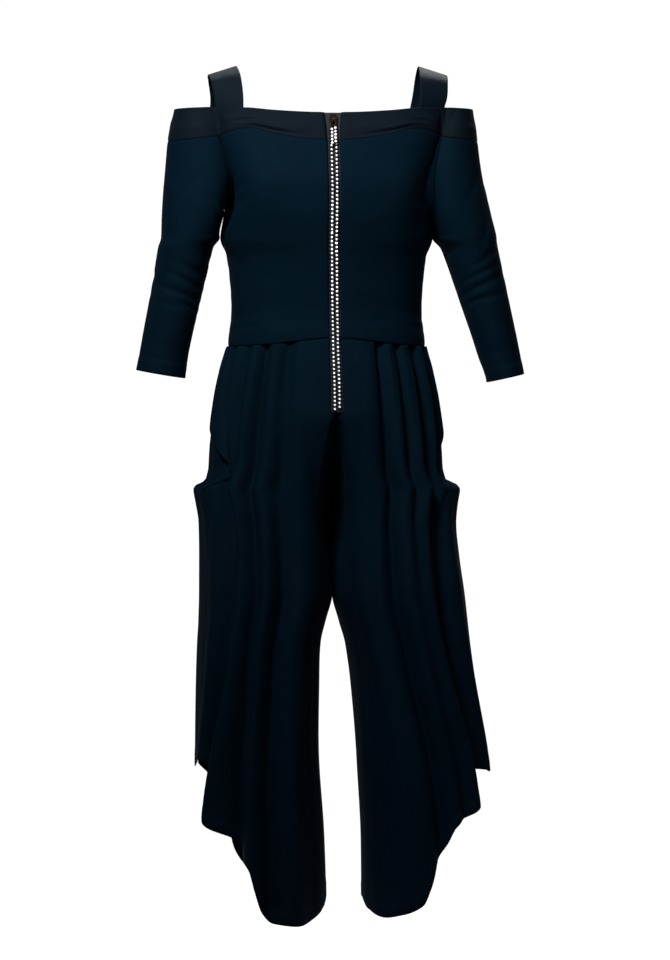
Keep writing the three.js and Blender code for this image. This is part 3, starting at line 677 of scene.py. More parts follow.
def sleeve(side):
    """From the armhole's front seam round the arm to its back seam, and from band to cuff."""
    s, t = np.meshgrid(places(126, 0.3), places(150, 0.2))
    round_it = 0.5 - 0.5 * np.cos(2 * np.pi * s)
    top = band_seam(mix(armhole_front, armhole_back, s)) - half_seam
    cuff = mix(cuffs[side]["inside"], cuffs[side]["outside"], round_it)
    z = mix(top, cuff, t)
    points, turn = sleeve_point(side, s, z)
    lift = lines_of(sleeve_creases[side], np.degrees(turn), z, "turn")
    lift += underarm_hollow(s / underarm["share"], z)
    return points + outward(points, side) * lift[..., None]


for word, side in sides.items():
    sew_in(f"sleeve_{word}", sleeve(side), side, ("left", "right", "top"), ("bottom",))

# %% [markdown]
# ## Shoulder band
# The band is a folded strip that follows the bodice and the sleeve without a break, so it
# takes its points from both. It holds the whole top in, and it is pulled along its length:
# the cloth stands up in a small roll just above the lower seam, longest over the bust.

# %% Shoulder band
band_front = 0.36  # the share of a half's length that lies on the bodice's front
band_back = 0.64  # from here on it lies on the back
band_middle = 179.92  # degrees round the body, where the two halves end
band_set_back = 0.7
corner_ease = 0.04
band_open = 3  # the band's ends spread by this much more at the top of the zip
band_rolls = table("s up reach tall proud", [
    [0.15, 0.72, 0.075, 0.11, 3.1],
    [0.21, 0.60, 0.05, 0.10, -2.0],
    [0.06, 0.55, 0.04, 0.12, 1.3],
    [0.10, 0.86, 0.06, 0.07, -1.8],
    [0.27, 0.50, 0.05, 0.14, 1.2],
    [0.34, 0.60, 0.02, 0.3, -1.8],
    [0.44, 0.60, 0.05, 0.14, 1.3],
    [0.56, 0.45, 0.05, 0.14, 1.3],
    [0.66, 0.60, 0.02, 0.3, -1.8],
    [0.78, 0.66, 0.07, 0.12, 2.4],
    [0.88, 0.50, 0.06, 0.12, -1.5],
])


def band_outline(side, s, z, t):
    """The bodice's points up to the front armhole seam, the sleeve's round the arm, and the
    bodice's again to the middle of the back."""
    start = angle_across(tape_half + band_set_back + band_open * (1 - t) ** 2, z)
    front_angle = mix(start, armhole_angle(z, True), np.clip(s / band_front, 0, 1))
    front = body_point(side, front_angle, z)
    back_share = np.clip((s - band_back) / (1 - band_back), 0, 1)
    back = body_point(side, mix(armhole_angle(z, False), band_middle, back_share), z)
    arm_share = np.clip((s - band_front) / (band_back - band_front), 0, 1)
    arm = sleeve_point(side, arm_share, z)[0]
    return np.where(
        (s < band_front)[..., None], front, np.where((s > band_back)[..., None], back, arm)
    )


def band_angle(s):
    """The angle round the body for a share of the band's length, to read its edges at."""
    arm = mix(armhole_front, armhole_back, (s - band_front) / (band_back - band_front))
    front = armhole_front * s / band_front
    back = mix(armhole_back, 180, (s - band_back) / (1 - band_back))
    return np.where(s < band_front, front, np.where(s > band_back, back, arm))


def band(side):
    """Near the armholes' corners each point is eased between its neighbours along the band,
    and the rolls then stand out from it."""
    s, t = np.meshgrid(places(240, 0.15), places(34, 0.4))
    angle = band_angle(s)
    z = mix(read(band_seams, "angle", "top", angle), band_seam(angle) - tucked, t)
    spread = np.minimum(corner_ease * (1 - t), np.minimum(s, 1 - s))
    points = band_outline(side, s, z, t) / 2
    points += band_outline(side, s - spread, z, t) / 4 + band_outline(side, s + spread, z, t) / 4
    lift = 0
    for i in range(len(band_rolls["s"])):
        along_it = bell((s - band_rolls["s"][i]) / band_rolls["reach"][i])
        down_it = bell((t - band_rolls["up"][i]) / band_rolls["tall"][i])
        lift = lift + band_rolls["proud"][i] * along_it * down_it
    return points + outward(points, side) * lift[..., None]


for word, side in sides.items():
    sew_in(f"band_{word}", band(side), side, ("left", "right", "bottom"))

# %% [markdown]
# ## Straps
# Each strap is a flat strip that is sewn inside the band in front and behind and goes over the
# shoulder. A strip is a path with a direction across it: the path runs up, over and down, and
# the direction across leans outward where the shoulder falls away.

# %% Straps
strap_width = 46
strap_wall = 1.9
strap_rows = table("y z x aside drop turned", [
    [-64.3, -98, 158, 0, 0, 28],
    [-58.5, -74, 158, 0, 1, 26],
    [-54, -48, 161, 2, 4, 18],
    [-41, -21, 163, 1, 10, 8],
    [-15, -9, 165, 1, 14, 1],
    [12, -8, 165, 2, 14, -1],
    [40, -21, 163, 4, 10, -8],
    [54, -48, 160, 4, 5, -17],
    [64, -78, 158, 0, 1, -24],
    [67.8, -98, 157, 0, 0, -27],
])


def through(values, at):
    """A Catmull-Rom curve through the rows: on each stretch, half of 2b + (c-a)f +
    (2a-5b+4c-d)f2 + (3b-a-3c+d)f3."""
    last = len(values) - 1
    i = np.clip(np.floor(at * last).astype(int), 0, last - 1)
    f = at * last - i
    a = values[np.maximum(i - 1, 0)]
    b = values[i]
    c = values[i + 1]
    d = values[np.minimum(i + 2, last)]
    squares = (2 * a - 5 * b + 4 * c - d) * f**2
    return (2 * b + (c - a) * f + squares + (3 * b - a - 3 * c + d) * f**3) / 2


def strap(side):
    """The middle line plus the unit direction across times the place on the width."""
    s, t = np.meshgrid(places(20, 0.3) - 0.5, places(120))
    middle = points_of(*[through(strap_rows[word], t) for word in "xyz"])
    lean = points_of(strap_width, through(strap_rows["turned"], t), -through(strap_rows["drop"], t))
    lean /= np.linalg.norm(lean, axis=-1, keepdims=True)
    points = middle + lean * (s * strap_width)[..., None]
    points[..., 0] = side * points[..., 0] + through(strap_rows["aside"], t)
    return points


for word, side in sides.items():
    sew_in(f"strap_{word}", strap(side), -side, wall=strap_wall)

# %% [markdown]
# ## Trousers: one tube that becomes two legs
# From the waist to the hip the trousers are one tube. Further down, front and back draw in at
# the middle until they meet at the crotch, and below it each leg is a tube of its own. So a
# point is worked out twice, on the section of one tube and on the section of a leg, and the
# split mixes the two. Under the zip the cloth also turns sharply in between the legs, which
# leaves a dark cleft.

# %% Smooth trousers
trouser_sections = table("z centre gap left right front back split", [
    [-425, 3, 0.2, 154, 154, 104, 103, 0],
    [-437, 3, 0.2, 157, 156, 106, 105, 0],
    [-470, 3.5, 0.2, 167, 165, 113, 116, 0],
    [-510, 4, 0.2, 176, 173, 119, 125, 0],
    [-540, 4, 0.2, 181, 178, 122, 130, 0],
    [-585, 4, 0.2, 188, 185, 124, 135, 0.12],
    [-625, 4.5, 0.2, 194, 191, 124, 137, 0.26],
    [-646, 5, 0.2, 202, 200, 124, 138, 0.36],
    [-661, 5, 0.2, 208, 209, 124, 138, 0.42],
    [-680, 6, 0.2, 205, 206, 124, 138, 0.52],
    [-712, 6, 0.2, 200, 203, 123, 137, 0.68],
    [-765, 8, 0.2, 199, 208, 122, 136, 0.88],
    [-821, 9, 0.3, 199, 216, 121, 134, 1],
    [-865, 9, 11, 200, 221, 120, 131, 1],
    [-900, 10, 20, 202, 225, 119, 128, 1],
    [-958, 13, 25, 204, 233, 118, 124, 1],
    [-1085, 18, 30, 206, 249, 114, 118, 1],
    [-1200, 25, 29, 206, 254, 108, 112, 1],
    [-1290, 27, 28, 206, 256, 102, 106, 1],
    [-1345, 28, 30, 204, 255, 96, 100, 1],
])
cleft = table("z half deep", [
    [-541, 5, 0],
    [-560, 8, 12],
    [-585, 11, 26],
    [-625, 15, 40],
    [-661, 18, 46],
    [-712, 21, 34],
    [-765, 24, 12],
    [-821, 26, 0],
])


def trouser_base(side, turn, z):
    """turn is 0 at the front middle or inside leg, 180 at the side and 360 behind. Tube:
    x = inside + (outside - inside) sin(turn/2), y = -depth cos(turn/2). Leg: x = middle -
    half cos(turn), y = -depth sin(turn). The cleft moves y in by deep e^-(across/half)^4."""

    def at(column):
        return read(trouser_sections, "z", column, z)

    outside = side * at("right" if side > 0 else "left")
    inside = at("centre") + side * at("gap")
    depth = np.where(turn < 180, at("front"), at("back"))
    tube = np.radians(turn / 2)
    leg = np.radians(turn)
    tube_depth = np.where(np.cos(tube) > 0, at("front"), at("back"))
    leg_x = (inside + outside) / 2 - (outside - inside) / 2 * np.cos(leg)
    x = mix(inside + (outside - inside) * np.sin(tube), leg_x, at("split"))
    y = mix(-tube_depth * np.cos(tube), -depth * np.sin(leg), at("split"))
    across = (x - at("centre")) / read(cleft, "z", "half", z)
    sunk = read(cleft, "z", "deep", z) * np.exp(-(across**4))
    return points_of(x, y + np.where(turn < 180, sunk, 0), z)


print("crotch", round(-float(trouser_sections["z"][12])), "mm below the shoulders")

# %% [markdown]
# ## Folds that hang from pleats
# At the waist seam the spare cloth is laid in pleats. Each pleat opens below into a trough
# between two rounded folds, and these run on down the leg, leaning outward with the flare. A
# fold is a line that wanders round the leg from waist to hem, and how far the cloth stands
# out on it at four heights. One side of a trough is steeper than the other, because the cloth
# under a pleat is pressed one way. Short sharp tucks at the seam and thin secondary creases
# are laid over the large folds. The back was not photographed and gets folds of its own kind.

# %% Folds of the trousers
fold_words = "waist thigh hem pleat hip knee low width lean"
folds = {
    -1: table(fold_words, [
        [34, 58, 66, 2, 4, 9, 13, 14, 0],
        [52, 78, 86, -5, -6, -13, -17, 9, 0.2],
        [67, 96, 101, 4, 6, 9, 12, 8, -0.2],
        [83, 106, 116, -6, -12, -13, -14, 7, 0.3],
        [98, 118, 143, 4, 7, 12, 20, 9, -0.2],
        [110, 128, 158, -3, -5, -12, -19, 7, 0.3],
        [126, 142, 172, 4, 5, 8, 3, 9, 0],
        [142, 118, 130, -8, -9, -1, 0, 6, 0.2],
        [158, 155, 160, 3, 3, 0, 0, 8, 0],
        [207, 210, 196, -3, -5, -11, -12, 8, 0.2],
        [222, 228, 216, 3, 7, 11, 10, 9, -0.2],
        [242, 246, 238, -5, -9, -13, -15, 8, 0.3],
        [262, 264, 260, 3, 6, 10, 13, 9, 0],
        [286, 284, 280, -5, -8, -12, -15, 9, -0.2],
        [310, 306, 300, 2, 5, 8, 11, 12, 0],
    ]),
    1: table(fold_words, [
        [34, 54, 70, 2, 4, 9, 13, 15, 0],
        [54, 77, 98, -6, -10, -14, -14, 7, 0.3],
        [68, 93, 110, 4, 6, 11, 15, 9, -0.2],
        [80, 104, 122, -5, -6, -2, -3, 6, 0.2],
        [95, 112, 132, 4, 6, 10, 18, 9, -0.2],
        [108, 122, 150, -6, -11, -14, -18, 8, 0.3],
        [124, 142, 168, 4, 6, 10, 9, 9, 0],
        [140, 130, 140, -6, -7, -1, 0, 6, 0.2],
        [156, 155, 160, 3, 3, 0, 0, 8, 0],
        [204, 206, 192, -3, -5, -10, -12, 8, 0.2],
        [220, 224, 210, 3, 6, 11, 15, 9, -0.2],
        [240, 244, 232, -5, -9, -12, -15, 8, 0.3],
        [259, 262, 254, 3, 6, 11, 13, 9, 0],
        [284, 286, 276, -5, -9, -12, -14, 9, -0.2],
        [308, 308, 298, 2, 4, 8, 11, 12, 0],
    ]),
}
fold_heights = (waist_side, -600, -865, -1200)
valley_share = 1.45  # the cloth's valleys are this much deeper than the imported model's
fold_seam_heights = (waist_side, -865, -1200)  # where the waist, thigh and hem turns stand
seam_calm = 26
scoop_calm = {"turn": 150, "across": 34, "z": -625, "up": 50, "share": 0.85}
tuck_rise = 7
ripples = ((13, 0.010, 310, 0.7), (23, -0.014, 190, 0.35), (37, 0.02, 130, 0.12))
ripple_rise = 150
turn_step = 0.25
tuck_words = "top low end deep narrow way"
tucks = {
    -1: table(tuck_words, [
        [53, 60, -560, -3.2, 2.4, 1],
        [85, 88, -640, -4.4, 2.6, -1],
        [99, 108, -600, -2.2, 2.0, 1],
        [112, 118, -700, -3.0, 2.6, -1],
        [143, 128, -585, -4.2, 3.0, 1],
        [160, 150, -520, -2.0, 2.4, -1],
        [206, 208, -640, -3.2, 2.6, 1],
        [228, 232, -560, -2.4, 2.2, -1],
        [243, 246, -660, -4.0, 2.8, 1],
        [270, 268, -560, -2.2, 2.2, -1],
        [287, 285, -640, -3.8, 2.6, -1],
        [318, 312, -560, -2.4, 2.4, 1],
    ]),
    1: table(tuck_words, [
        [53, 60, -680, -4.6, 2.6, -1],
        [69, 76, -600, -3.4, 2.0, 1],
        [80, 88, -560, -2.0, 2.0, 1],
        [97, 106, -640, -3.8, 2.6, -1],
        [110, 118, -700, -3.2, 2.6, 1],
        [140, 130, -585, -3.6, 2.6, -1],
        [158, 152, -520, -2.0, 2.4, 1],
        [204, 206, -640, -3.2, 2.6, -1],
        [226, 230, -560, -2.4, 2.2, 1],
        [241, 244, -660, -4.0, 2.8, -1],
        [268, 268, -560, -2.2, 2.2, 1],
        [285, 285, -640, -3.8, 2.6, 1],
        [316, 312, -560, -2.4, 2.4, -1],
    ]),
}


def split_at(z):
    """How far the tube has become two legs at a height, from 0 to 1."""
    return read(trouser_sections, "z", "split", z)


def fold_line(waist, thigh, hem, z):
    """The turn of a fold's line at a height. The line is drawn as a share u of the way from
    the middle to the side, u = sin(turn/2) on the tube and u^2 on a leg, so that it hangs
    straight where the tube becomes a leg: (1-split) u + split u^2 = share is solved for u."""
    half = np.radians(np.array([waist, thigh, hem]) / 2)
    shares = np.sin(half) ** np.array([1, 2, 2])
    share = at_heights(shares, fold_seam_heights, z)
    split = np.maximum(split_at(z), 1e-4)
    u = (np.sqrt((1 - split) ** 2 + 4 * split * share) - (1 - split)) / (2 * split)
    turn = 2 * np.degrees(np.arcsin(np.clip(u, 0, 1)))
    return np.where(waist < 180, turn, 360 - turn)


def fold_lift(side, turn, z):
    """How far the folds move the cloth out: the sum of depth e^-(off/width)^2, where the
    width is larger on one side of the line by the fold's lean. It fades to nothing at the
    seams in the middle and inside the leg, and is drawn nearly flat beside the scoop."""
    rows = folds[side]
    lift = 0
    for i in range(len(rows["waist"])):
        line = fold_line(rows["waist"][i], rows["thigh"][i], rows["hem"][i], z)
        deep = at_heights([rows[word][i] for word in ("pleat", "hip", "knee", "low")], fold_heights, z)
        deep = np.where(deep < 0, deep * valley_share, deep)
        off = turn - line
        width = rows["width"][i] * (1 + rows["lean"][i] * np.sign(off))
        lift = lift + deep * bell(off / width)
    beside = np.maximum(0, np.abs(turn - 180) - (180 - scoop_calm["turn"])) / scoop_calm["across"]
    above = (z - scoop_calm["z"]) / scoop_calm["up"]
    near_scoop = scoop_calm["share"] * bell(beside) * bell(above)
    fade = np.minimum(1, np.minimum(turn, 360 - turn) / seam_calm)
    return lift * fade * (1 - near_scoop)


def tuck_lift(side, turn, z):
    """Sharp tucks under the waist seam: each rises within a finger's width of the seam and
    dies away at its end. Across, it falls off as e^-|off|/narrow on the pressed side, and
    three times as slowly on the other."""
    rows = tucks[side]
    below = waist_side - z
    rise = 1 - np.exp(-np.maximum(below, 0) / tuck_rise)
    lift = 0
    for i in range(len(rows["top"])):
        share = np.clip(below / (waist_side - rows["end"][i]), 0, 1)
        line = fold_line(rows["top"][i], rows["low"][i], rows["low"][i], z)
        off = (turn - line) * rows["way"][i]
        narrow = rows["narrow"][i]
        across = np.where(off < 0, np.exp(off / narrow), bell(off / (3 * narrow)))
        lift = lift + rows["deep"][i] * across * rise * (1 - share**2) ** 2
    return lift


def ripple(side, turn, z):
    """The unevenness of hanging cloth: a few slow waves, each running nearly straight down,
    whose heights come and go along their length. A wave has its count round the leg, how far
    it drifts on the way down, how slowly it comes and goes, and its height."""
    total = 0
    for count, drift, tall, deep in ripples:
        wave = np.sin(np.radians(turn * count + z * drift * count + 40 * side * count))
        total = total + deep * wave * np.sin(z / tall + count)
    return total * np.clip((waist_side - z) / ripple_rise, 0, 1)


def trouser_point(side, turn, z, lower=0.0):
    """A point of the folded cloth: the smooth trousers' point, moved level along the normal
    by the folds, the tucks and the ripple, less how much lower it lies."""
    before = trouser_base(side, np.maximum(0, turn - turn_step), z)
    after = trouser_base(side, np.minimum(360, turn + turn_step), z)
    along_it = after - before
    out = points_of(along_it[..., 1], -along_it[..., 0], 0 * along_it[..., 0])
    out = side * out / np.linalg.norm(out, axis=-1, keepdims=True)
    lift = fold_lift(side, turn, z) - lower
    fade = np.minimum(1, np.minimum(turn, 360 - turn) / seam_calm)
    fine = (tuck_lift(side, turn, z) + ripple(side, turn, z)) * fade
    return trouser_base(side, turn, z) + out * (lift + fine)[..., None]


print("large folds a leg:", len(folds[1]["waist"]), "and tucks:", len(tucks[1]["top"]))

# %% [markdown]
# ## Trouser panels
# Each leg has a front and a back panel. Their side edges do not meet at the hip: they part
# into a deep scoop, the mouth of a pocket, whose pointed corner stands out from the hip. The
# hem is cut uneven and steps up, fold by fold, from long at the inside leg to short at the
# side. A panel's grid therefore has curved edges all round, and its rows run from the waist
# seam to the hem.

# %% Front and back panels
hem_words = "turn z"
hems = {
    -1: table(hem_words, [
        [0, -1288],
        [22, -1311],
        [48, -1333],
        [66, -1340],
        [82, -1336],
        [94, -1320],
        [101, -1282],
        [105, -1254],
        [112, -1238],
        [120, -1208],
        [143, -1180],
        [152, -1096],
        [162, -1080],
        [180, -1092],
        [198, -1076],
        [216, -1086],
        [230, -1112],
        [244, -1180],
        [262, -1244],
        [292, -1312],
        [330, -1300],
        [360, -1288],
    ]),
    1: table(hem_words, [
        [0, -1293],
        [18, -1313],
        [45, -1327],
        [66, -1322],
        [82, -1308],
        [89, -1280],
        [96, -1240],
        [104, -1214],
        [110, -1186],
        [132, -1156],
        [141, -1108],
        [150, -1096],
        [166, -1100],
        [180, -1092],
        [198, -1076],
        [212, -1090],
        [226, -1140],
        [246, -1180],
        [266, -1240],
        [296, -1304],
        [330, -1300],
        [360, -1293],
    ]),
}
pocket_edge = table("z front back", [
    [-437, 172, 188],
    [-500, 168, 192],
    [-560, 160, 200],
    [-598, 140, 220],
    [-622, 124, 236],
    [-638, 128, 232],
    [-650, 150, 210],
    [-661, 180, 180],
])
pocket_tip = -661
trouser_trim = 0.09
whole_front = 97
whole_back = 263
zip_turn = 6.2
zip_end = -540
zip_closing = 8
row_places = (0, 0.06, 0.24, 0.36, 1.0)  # down the panel, with as many rows up to each:
row_counts = (0, 24, 60, 112, 176)


def front_turn(s, start, z):
    """Columns keep their turn at every height up to the whole cloth's, and are drawn in by
    the scoop beyond it."""
    edge = read(pocket_edge, "z", "front", z) - trouser_trim
    bend = whole_front / 180
    drawn = mix(whole_front, edge, (s - bend) / (1 - bend))
    return np.where(s < bend, mix(start, whole_front, s / bend), drawn)


def back_turn(s, z):
    """The same for the back panel, which starts at the scoop."""
    edge = read(pocket_edge, "z", "back", z) + trouser_trim
    bend = (whole_back - 180) / 180
    rest = mix(whole_back, 360 - trouser_trim, (s - bend) / (1 - bend))
    return np.where(s < bend, mix(edge, whole_back, s / bend), rest)


def waist_turn(turn):
    """The trousers' top edge at a turn, just under the bodice's."""
    return waist_seam(turn / 2) - half_seam


def panel_rows():
    """Row places that crowd where the scoop turns sharply and at the waist seam."""
    return np.interp(np.arange(row_counts[-1] + 1), row_counts, row_places)


def trouser_front(side):
    """The panel starts beside the zip, and closes to the middle where the zip ends."""
    s, t = np.meshgrid(places(136, 0.25), panel_rows())
    top = waist_turn(front_turn(s, zip_turn, waist_side))
    z = mix(top, read(hems[side], "turn", "z", front_turn(s, 0, pocket_tip)), t)
    open_by = np.clip((z - zip_end + 1) / zip_closing + 1, 0, 1)
    return trouser_point(side, front_turn(s, mix(trouser_trim, zip_turn, open_by), z), z)


def trouser_back(side):
    s, t = np.meshgrid(places(124, 0.25), panel_rows())
    top = waist_turn(back_turn(s, waist_side))
    z = mix(top, read(hems[side], "turn", "z", back_turn(s, pocket_tip)), t)
    return trouser_point(side, back_turn(s, z), z)


for word, side in sides.items():
    sew_in(f"trouser_front_{word}", trouser_front(side), side, ("left", "top"), ("bottom",))
    sew_in(f"trouser_back_{word}", trouser_back(side), side, ("right", "top"), ("bottom",))

# %% [markdown]
# ## Pocket walls
# Behind each scoop a panel of the same cloth closes the pocket. It is sewn in at the waist,
# lies a little inside the outer cloth, and goes on under it in front, behind and below.

# %% Hip panels
hip_end = -706
pocket_space = table("z space", [
    [-437, 1],
    [-480, 2],
    [-540, 3],
    [-600, 5],
    [-640, 10],
    [-661, 15],
    [-706, 12],
])
pocket_lap = 9
pocket_tuck = 5
panel_widest = -612


def hip_panel(side):
    """The outer cloth's own points, lower by a wall, the space and the tucked-in edge, which
    sinks as the fourth power of the place across."""
    s, t = np.meshgrid(places(60), places(90))
    top = waist_turn(mix(pocket_edge["front"][0], pocket_edge["back"][0], s))
    z = mix(top, hip_end, t)
    lap_z = np.maximum(z, panel_widest)
    start = read(pocket_edge, "z", "front", lap_z) - pocket_lap
    end = read(pocket_edge, "z", "back", lap_z) + pocket_lap
    lower = packed_wall + read(pocket_space, "z", "space", z) + pocket_tuck * np.abs(2 * s - 1) ** 4
    return trouser_point(side, mix(start, end, s), z, lower)


for word, side in sides.items():
    sew_in(f"hip_panel_{word}", hip_panel(side), side, ("top",))

# %% [markdown]
# ## Zip
# Two woven tapes lie behind the cloth's edges, and each carries a row of teeth. On this zip
# every tooth holds a clear faceted stone in a dark cup, and the teeth of one side stand
# opposite the gaps of the other. A stone is small and repeated over a hundred times, so it
# has few faces: one stone is worked out once, and numpy lays copies of it along the chain.

# %% Tapes
tape_hidden = 15
tape_face = packed_wall + 0.85
zip_top = -75
teeth_top = -101.5
stone_pitch = 6.2
stone_aside = 3.7
cup_proud = 0.75
stone_seat = 0.45


def front_depth(z):
    """How far the front's middle stands out, on the bodice and on the trousers."""
    upper = read(body_sections, "z", "front", z)
    return np.where(z > waist_front, upper, read(trouser_sections, "z", "front", z))


def zip_aside(z):
    """How far the zip lies off the middle, towards the viewer's right."""
    upper = read(body_sections, "z", "aside", z)
    return np.where(z > waist_front, upper, read(trouser_sections, "z", "centre", z))


def zip_tape(side):
    """A ribbon behind the front's middle line, from the chain to under the cloth."""
    s, t = np.meshgrid(places(14), places(180))
    z = mix(zip_top, zip_end - 1, t)
    x = side * mix(half_seam, tape_hidden, s) + zip_aside(z)
    return points_of(x, -front_depth(z) + tape_face, z)


zip_pieces = []


def fit_zip(piece, slot, body, *nodes):
    """A piece of the zip takes its nodes' place on a body of the garment."""
    if nodes:
        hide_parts(*nodes)
    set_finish(piece, slot)
    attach(piece, body)
    zip_pieces.append(piece)
    print(piece.name, len(piece.data.polygons), "faces")


tapes = []
for word, side in sides.items():
    name = f"zip_tape_{word}"
    tapes.append(shell(name + "_woven", zip_tape(side), side, wall=1.0))
    fit_zip(tapes[-1], "tape", "root", name)

# %% [markdown]
# A stone is cut like a small dome: a flat table on top, a ring of slanted facets below it and
# a second ring down to the cup. The cup is a short ring with four claws. The teeth under the
# cups are blocks with cut corners, which reach further out over the tape than inwards.

# %% Teeth, cups and stones


def ring(radius, height, count, start=0.0):
    """count points on a level circle, in the stone's own frame: z is out of the cloth."""
    turn = 2 * np.pi * np.arange(count) / count + start
    return points_of(radius * np.cos(turn), radius * np.sin(turn), height)


def lathe(rings):
    """Quads between rings of equal count, and one face over the last ring and the first."""
    count = len(rings[0])
    vertices = np.concatenate(rings)
    here = np.arange(count)
    after = (here + 1) % count
    faces = []
    for level in range(len(rings) - 1):
        low = level * count
        quads = np.stack([low + here, low + after, low + count + after, low + count + here], -1)
        faces += quads.tolist()
    faces.append(((len(rings) - 1) * count + here).tolist())
    faces.append(here[::-1].tolist())
    return vertices, faces


def stone_shape(radius=1.8, height=1.3):
    """Rings for the foot, the widest line, the crown and the flat table on top."""
    lower = ring(radius, 0, 8)
    girdle = ring(radius, 0.25, 8)
    crown = ring(radius * 0.78, height * 0.68, 8, np.pi / 8)
    top = ring(radius * 0.42, height, 8)
    return lathe([lower, girdle, crown, top])


def cup_shape(radius=2.35, height=0.75):
    """Rings up the outside, and two more over the rim and a little down inside."""
    outer = [ring(radius * 0.9, -0.5, 12), ring(radius, 0, 12), ring(radius, height * 0.8, 12)]
    return lathe(outer + [ring(radius * 0.93, height, 12), ring(radius * 0.8, height * 0.7, 12)])


def claw_shape():
    """A claw: a small slanted pyramid that leans over the stone's edge."""
    foot = np.array([[-0.45, 2.45, 0], [0.45, 2.45, 0], [0.35, 1.9, 0.2], [-0.35, 1.9, 0.2]])
    tip = np.array([[-0.25, 1.75, 1.0], [0.25, 1.75, 1.0], [0.2, 1.45, 0.95], [-0.2, 1.45, 0.95]])
    return lathe([foot, tip])


def tooth_shape():
    """A block under the cup, 2.9 mm along the chain, with its corners cut."""
    one_side = [[3.6, 0.8], [2.3, 1.45], [-2.1, 1.45], [-2.6, 1.1]]
    other_side = [[x, -y] for x, y in reversed(one_side)]
    corners = np.array(other_side + one_side)
    low = np.insert(corners, 2, -2.2, axis=1)
    high = np.insert(corners, 2, -0.55, axis=1)
    top = np.insert(corners * 0.88, 2, -0.25, axis=1)
    return lathe([low, high, top])


def copies(shape, turns, origins, axes):
    """Copies of a shape: each point turned about its own z, laid on three unit axes and
    moved to its origin. The faces of copy i are numbered on by i times the point count."""
    vertices, faces = shape
    cos, sin = np.cos(turns)[:, None], np.sin(turns)[:, None]
    x = vertices[:, 0] * cos - vertices[:, 1] * sin
    y = vertices[:, 0] * sin + vertices[:, 1] * cos
    z = np.broadcast_to(vertices[:, 2], x.shape)
    local = np.stack([x, y, z], -1)
    placed = np.einsum("nvk,nkj->nvj", local, axes) + origins[:, None]
    step = len(vertices)
    made = [[i * step + v for v in face] for i in range(len(origins)) for face in faces]
    return placed.reshape(-1, 3), made


def joined(name, parts):
    """One mesh object from several sets of vertices and faces."""
    vertices = np.concatenate([part[0] for part in parts])
    faces = []
    start = 0
    for points, made in parts:
        faces += [[start + v for v in face] for face in made]
        start += len(points)
    mesh = bpy.data.meshes.new(name)
    mesh.from_pydata((vertices * mm).tolist(), [], faces)
    mesh.validate()
    mesh.shade_flat()
    piece = bpy.data.objects.new(name, mesh)
    bpy.context.scene.collection.objects.link(piece)
    return piece


def chain_frames(z, across, proud):
    """Origins and axes along the zip: the first axis runs away from the middle, the second
    down the slope of the front, and the third out of the cloth."""
    y = -front_depth(z) - proud
    slope = -(front_depth(z - 1) - front_depth(z + 1)) / 2
    down = points_of(0 * z, slope, -np.ones_like(z))
    down /= np.linalg.norm(down, axis=-1, keepdims=True)
    away = points_of(np.sign(across) + 0 * z, 0, 0)
    out = np.cross(down, np.array([1.0, 0, 0]))
    origins = points_of(across + zip_aside(z), y, z)
    return origins, np.stack([away, np.sign(across) * -down, out], 1)


def chain(side):
    """One half of the chain: teeth, cups, claws, and on top of them the stones."""
    first = teeth_top - (0 if side < 0 else stone_pitch / 2)
    z = np.arange(first, zip_end + 2, -stone_pitch)
    origins, axes = chain_frames(z, side * stone_aside, cup_proud)
    still = np.zeros(len(z))
    metal = [copies(tooth_shape(), still, origins, axes), copies(cup_shape(), still, origins, axes)]
    for quarter in range(4):
        turn = np.pi * (0.25 + quarter / 2)
        metal.append(copies(claw_shape(), still + turn, origins, axes))
    wobble = 0.35 * np.sin(np.arange(len(z)) * 2.4 + side)
    stones = copies(stone_shape(), wobble, origins + axes[:, 2] * stone_seat, axes)
    return metal, stones


for word, side in sides.items():
    metal, stones = chain(side)
    fit_zip(joined(f"zip_chain_{word}", metal), "gunmetal", "root", f"zip_teeth_{word}")
    fit_zip(joined(f"zip_stones_{word}", [stones]), "stones", "root")

# %% [markdown]
# ## Slider and pull
# The slider and its pull are small castings with softened edges. Their forms are right in the
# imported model, so a copy of each is merged, and a narrow bevel rounds its edges to catch the
# light. The pull is set with stones as the chain is, and they swing with it.

# %% Slider and pull
hinge_place = np.array(frame["joints"][0]["pos_m"]) / mm
slope_heights = (-80, -125)  # the pull hangs beside the front between these
slope_out = front_depth(slope_heights[1]) - front_depth(slope_heights[0])
slope_turn = math.atan2(float(slope_out), slope_heights[0] - slope_heights[1])


def softened(name, node, width):
    """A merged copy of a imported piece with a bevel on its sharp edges."""
    mesh = frame["nodes"][node].data.copy()
    mesh.name = name
    mesh.materials.clear()
    made = bmesh.new()
    made.from_mesh(mesh)
    bmesh.ops.remove_doubles(made, verts=made.verts, dist=1e-6)
    bmesh.ops.dissolve_limit(made, angle_limit=math.radians(2), verts=made.verts, edges=made.edges)
    made.to_mesh(mesh)
    made.free()
    piece = bpy.data.objects.new(name, mesh)
    bpy.context.scene.collection.objects.link(piece)
    bevel = piece.modifiers.new("edges", "BEVEL")
    bevel.width = width * mm
    bevel.segments = 2
    bevel.limit_method = "ANGLE"
    bevel.angle_limit = math.radians(35)
    return piece


fit_zip(softened("zip_slider_cast", "zip_slider", 0.22), "gunmetal", "root", "zip_slider")
fit_zip(softened("zip_pull_cast", "zip_pull", 0.2), "gunmetal", "pull_tab", "zip_pull")


pull_count = 5
pull_pitch = 5.5
pull_aside = 2.75
pull_proud = 0.85


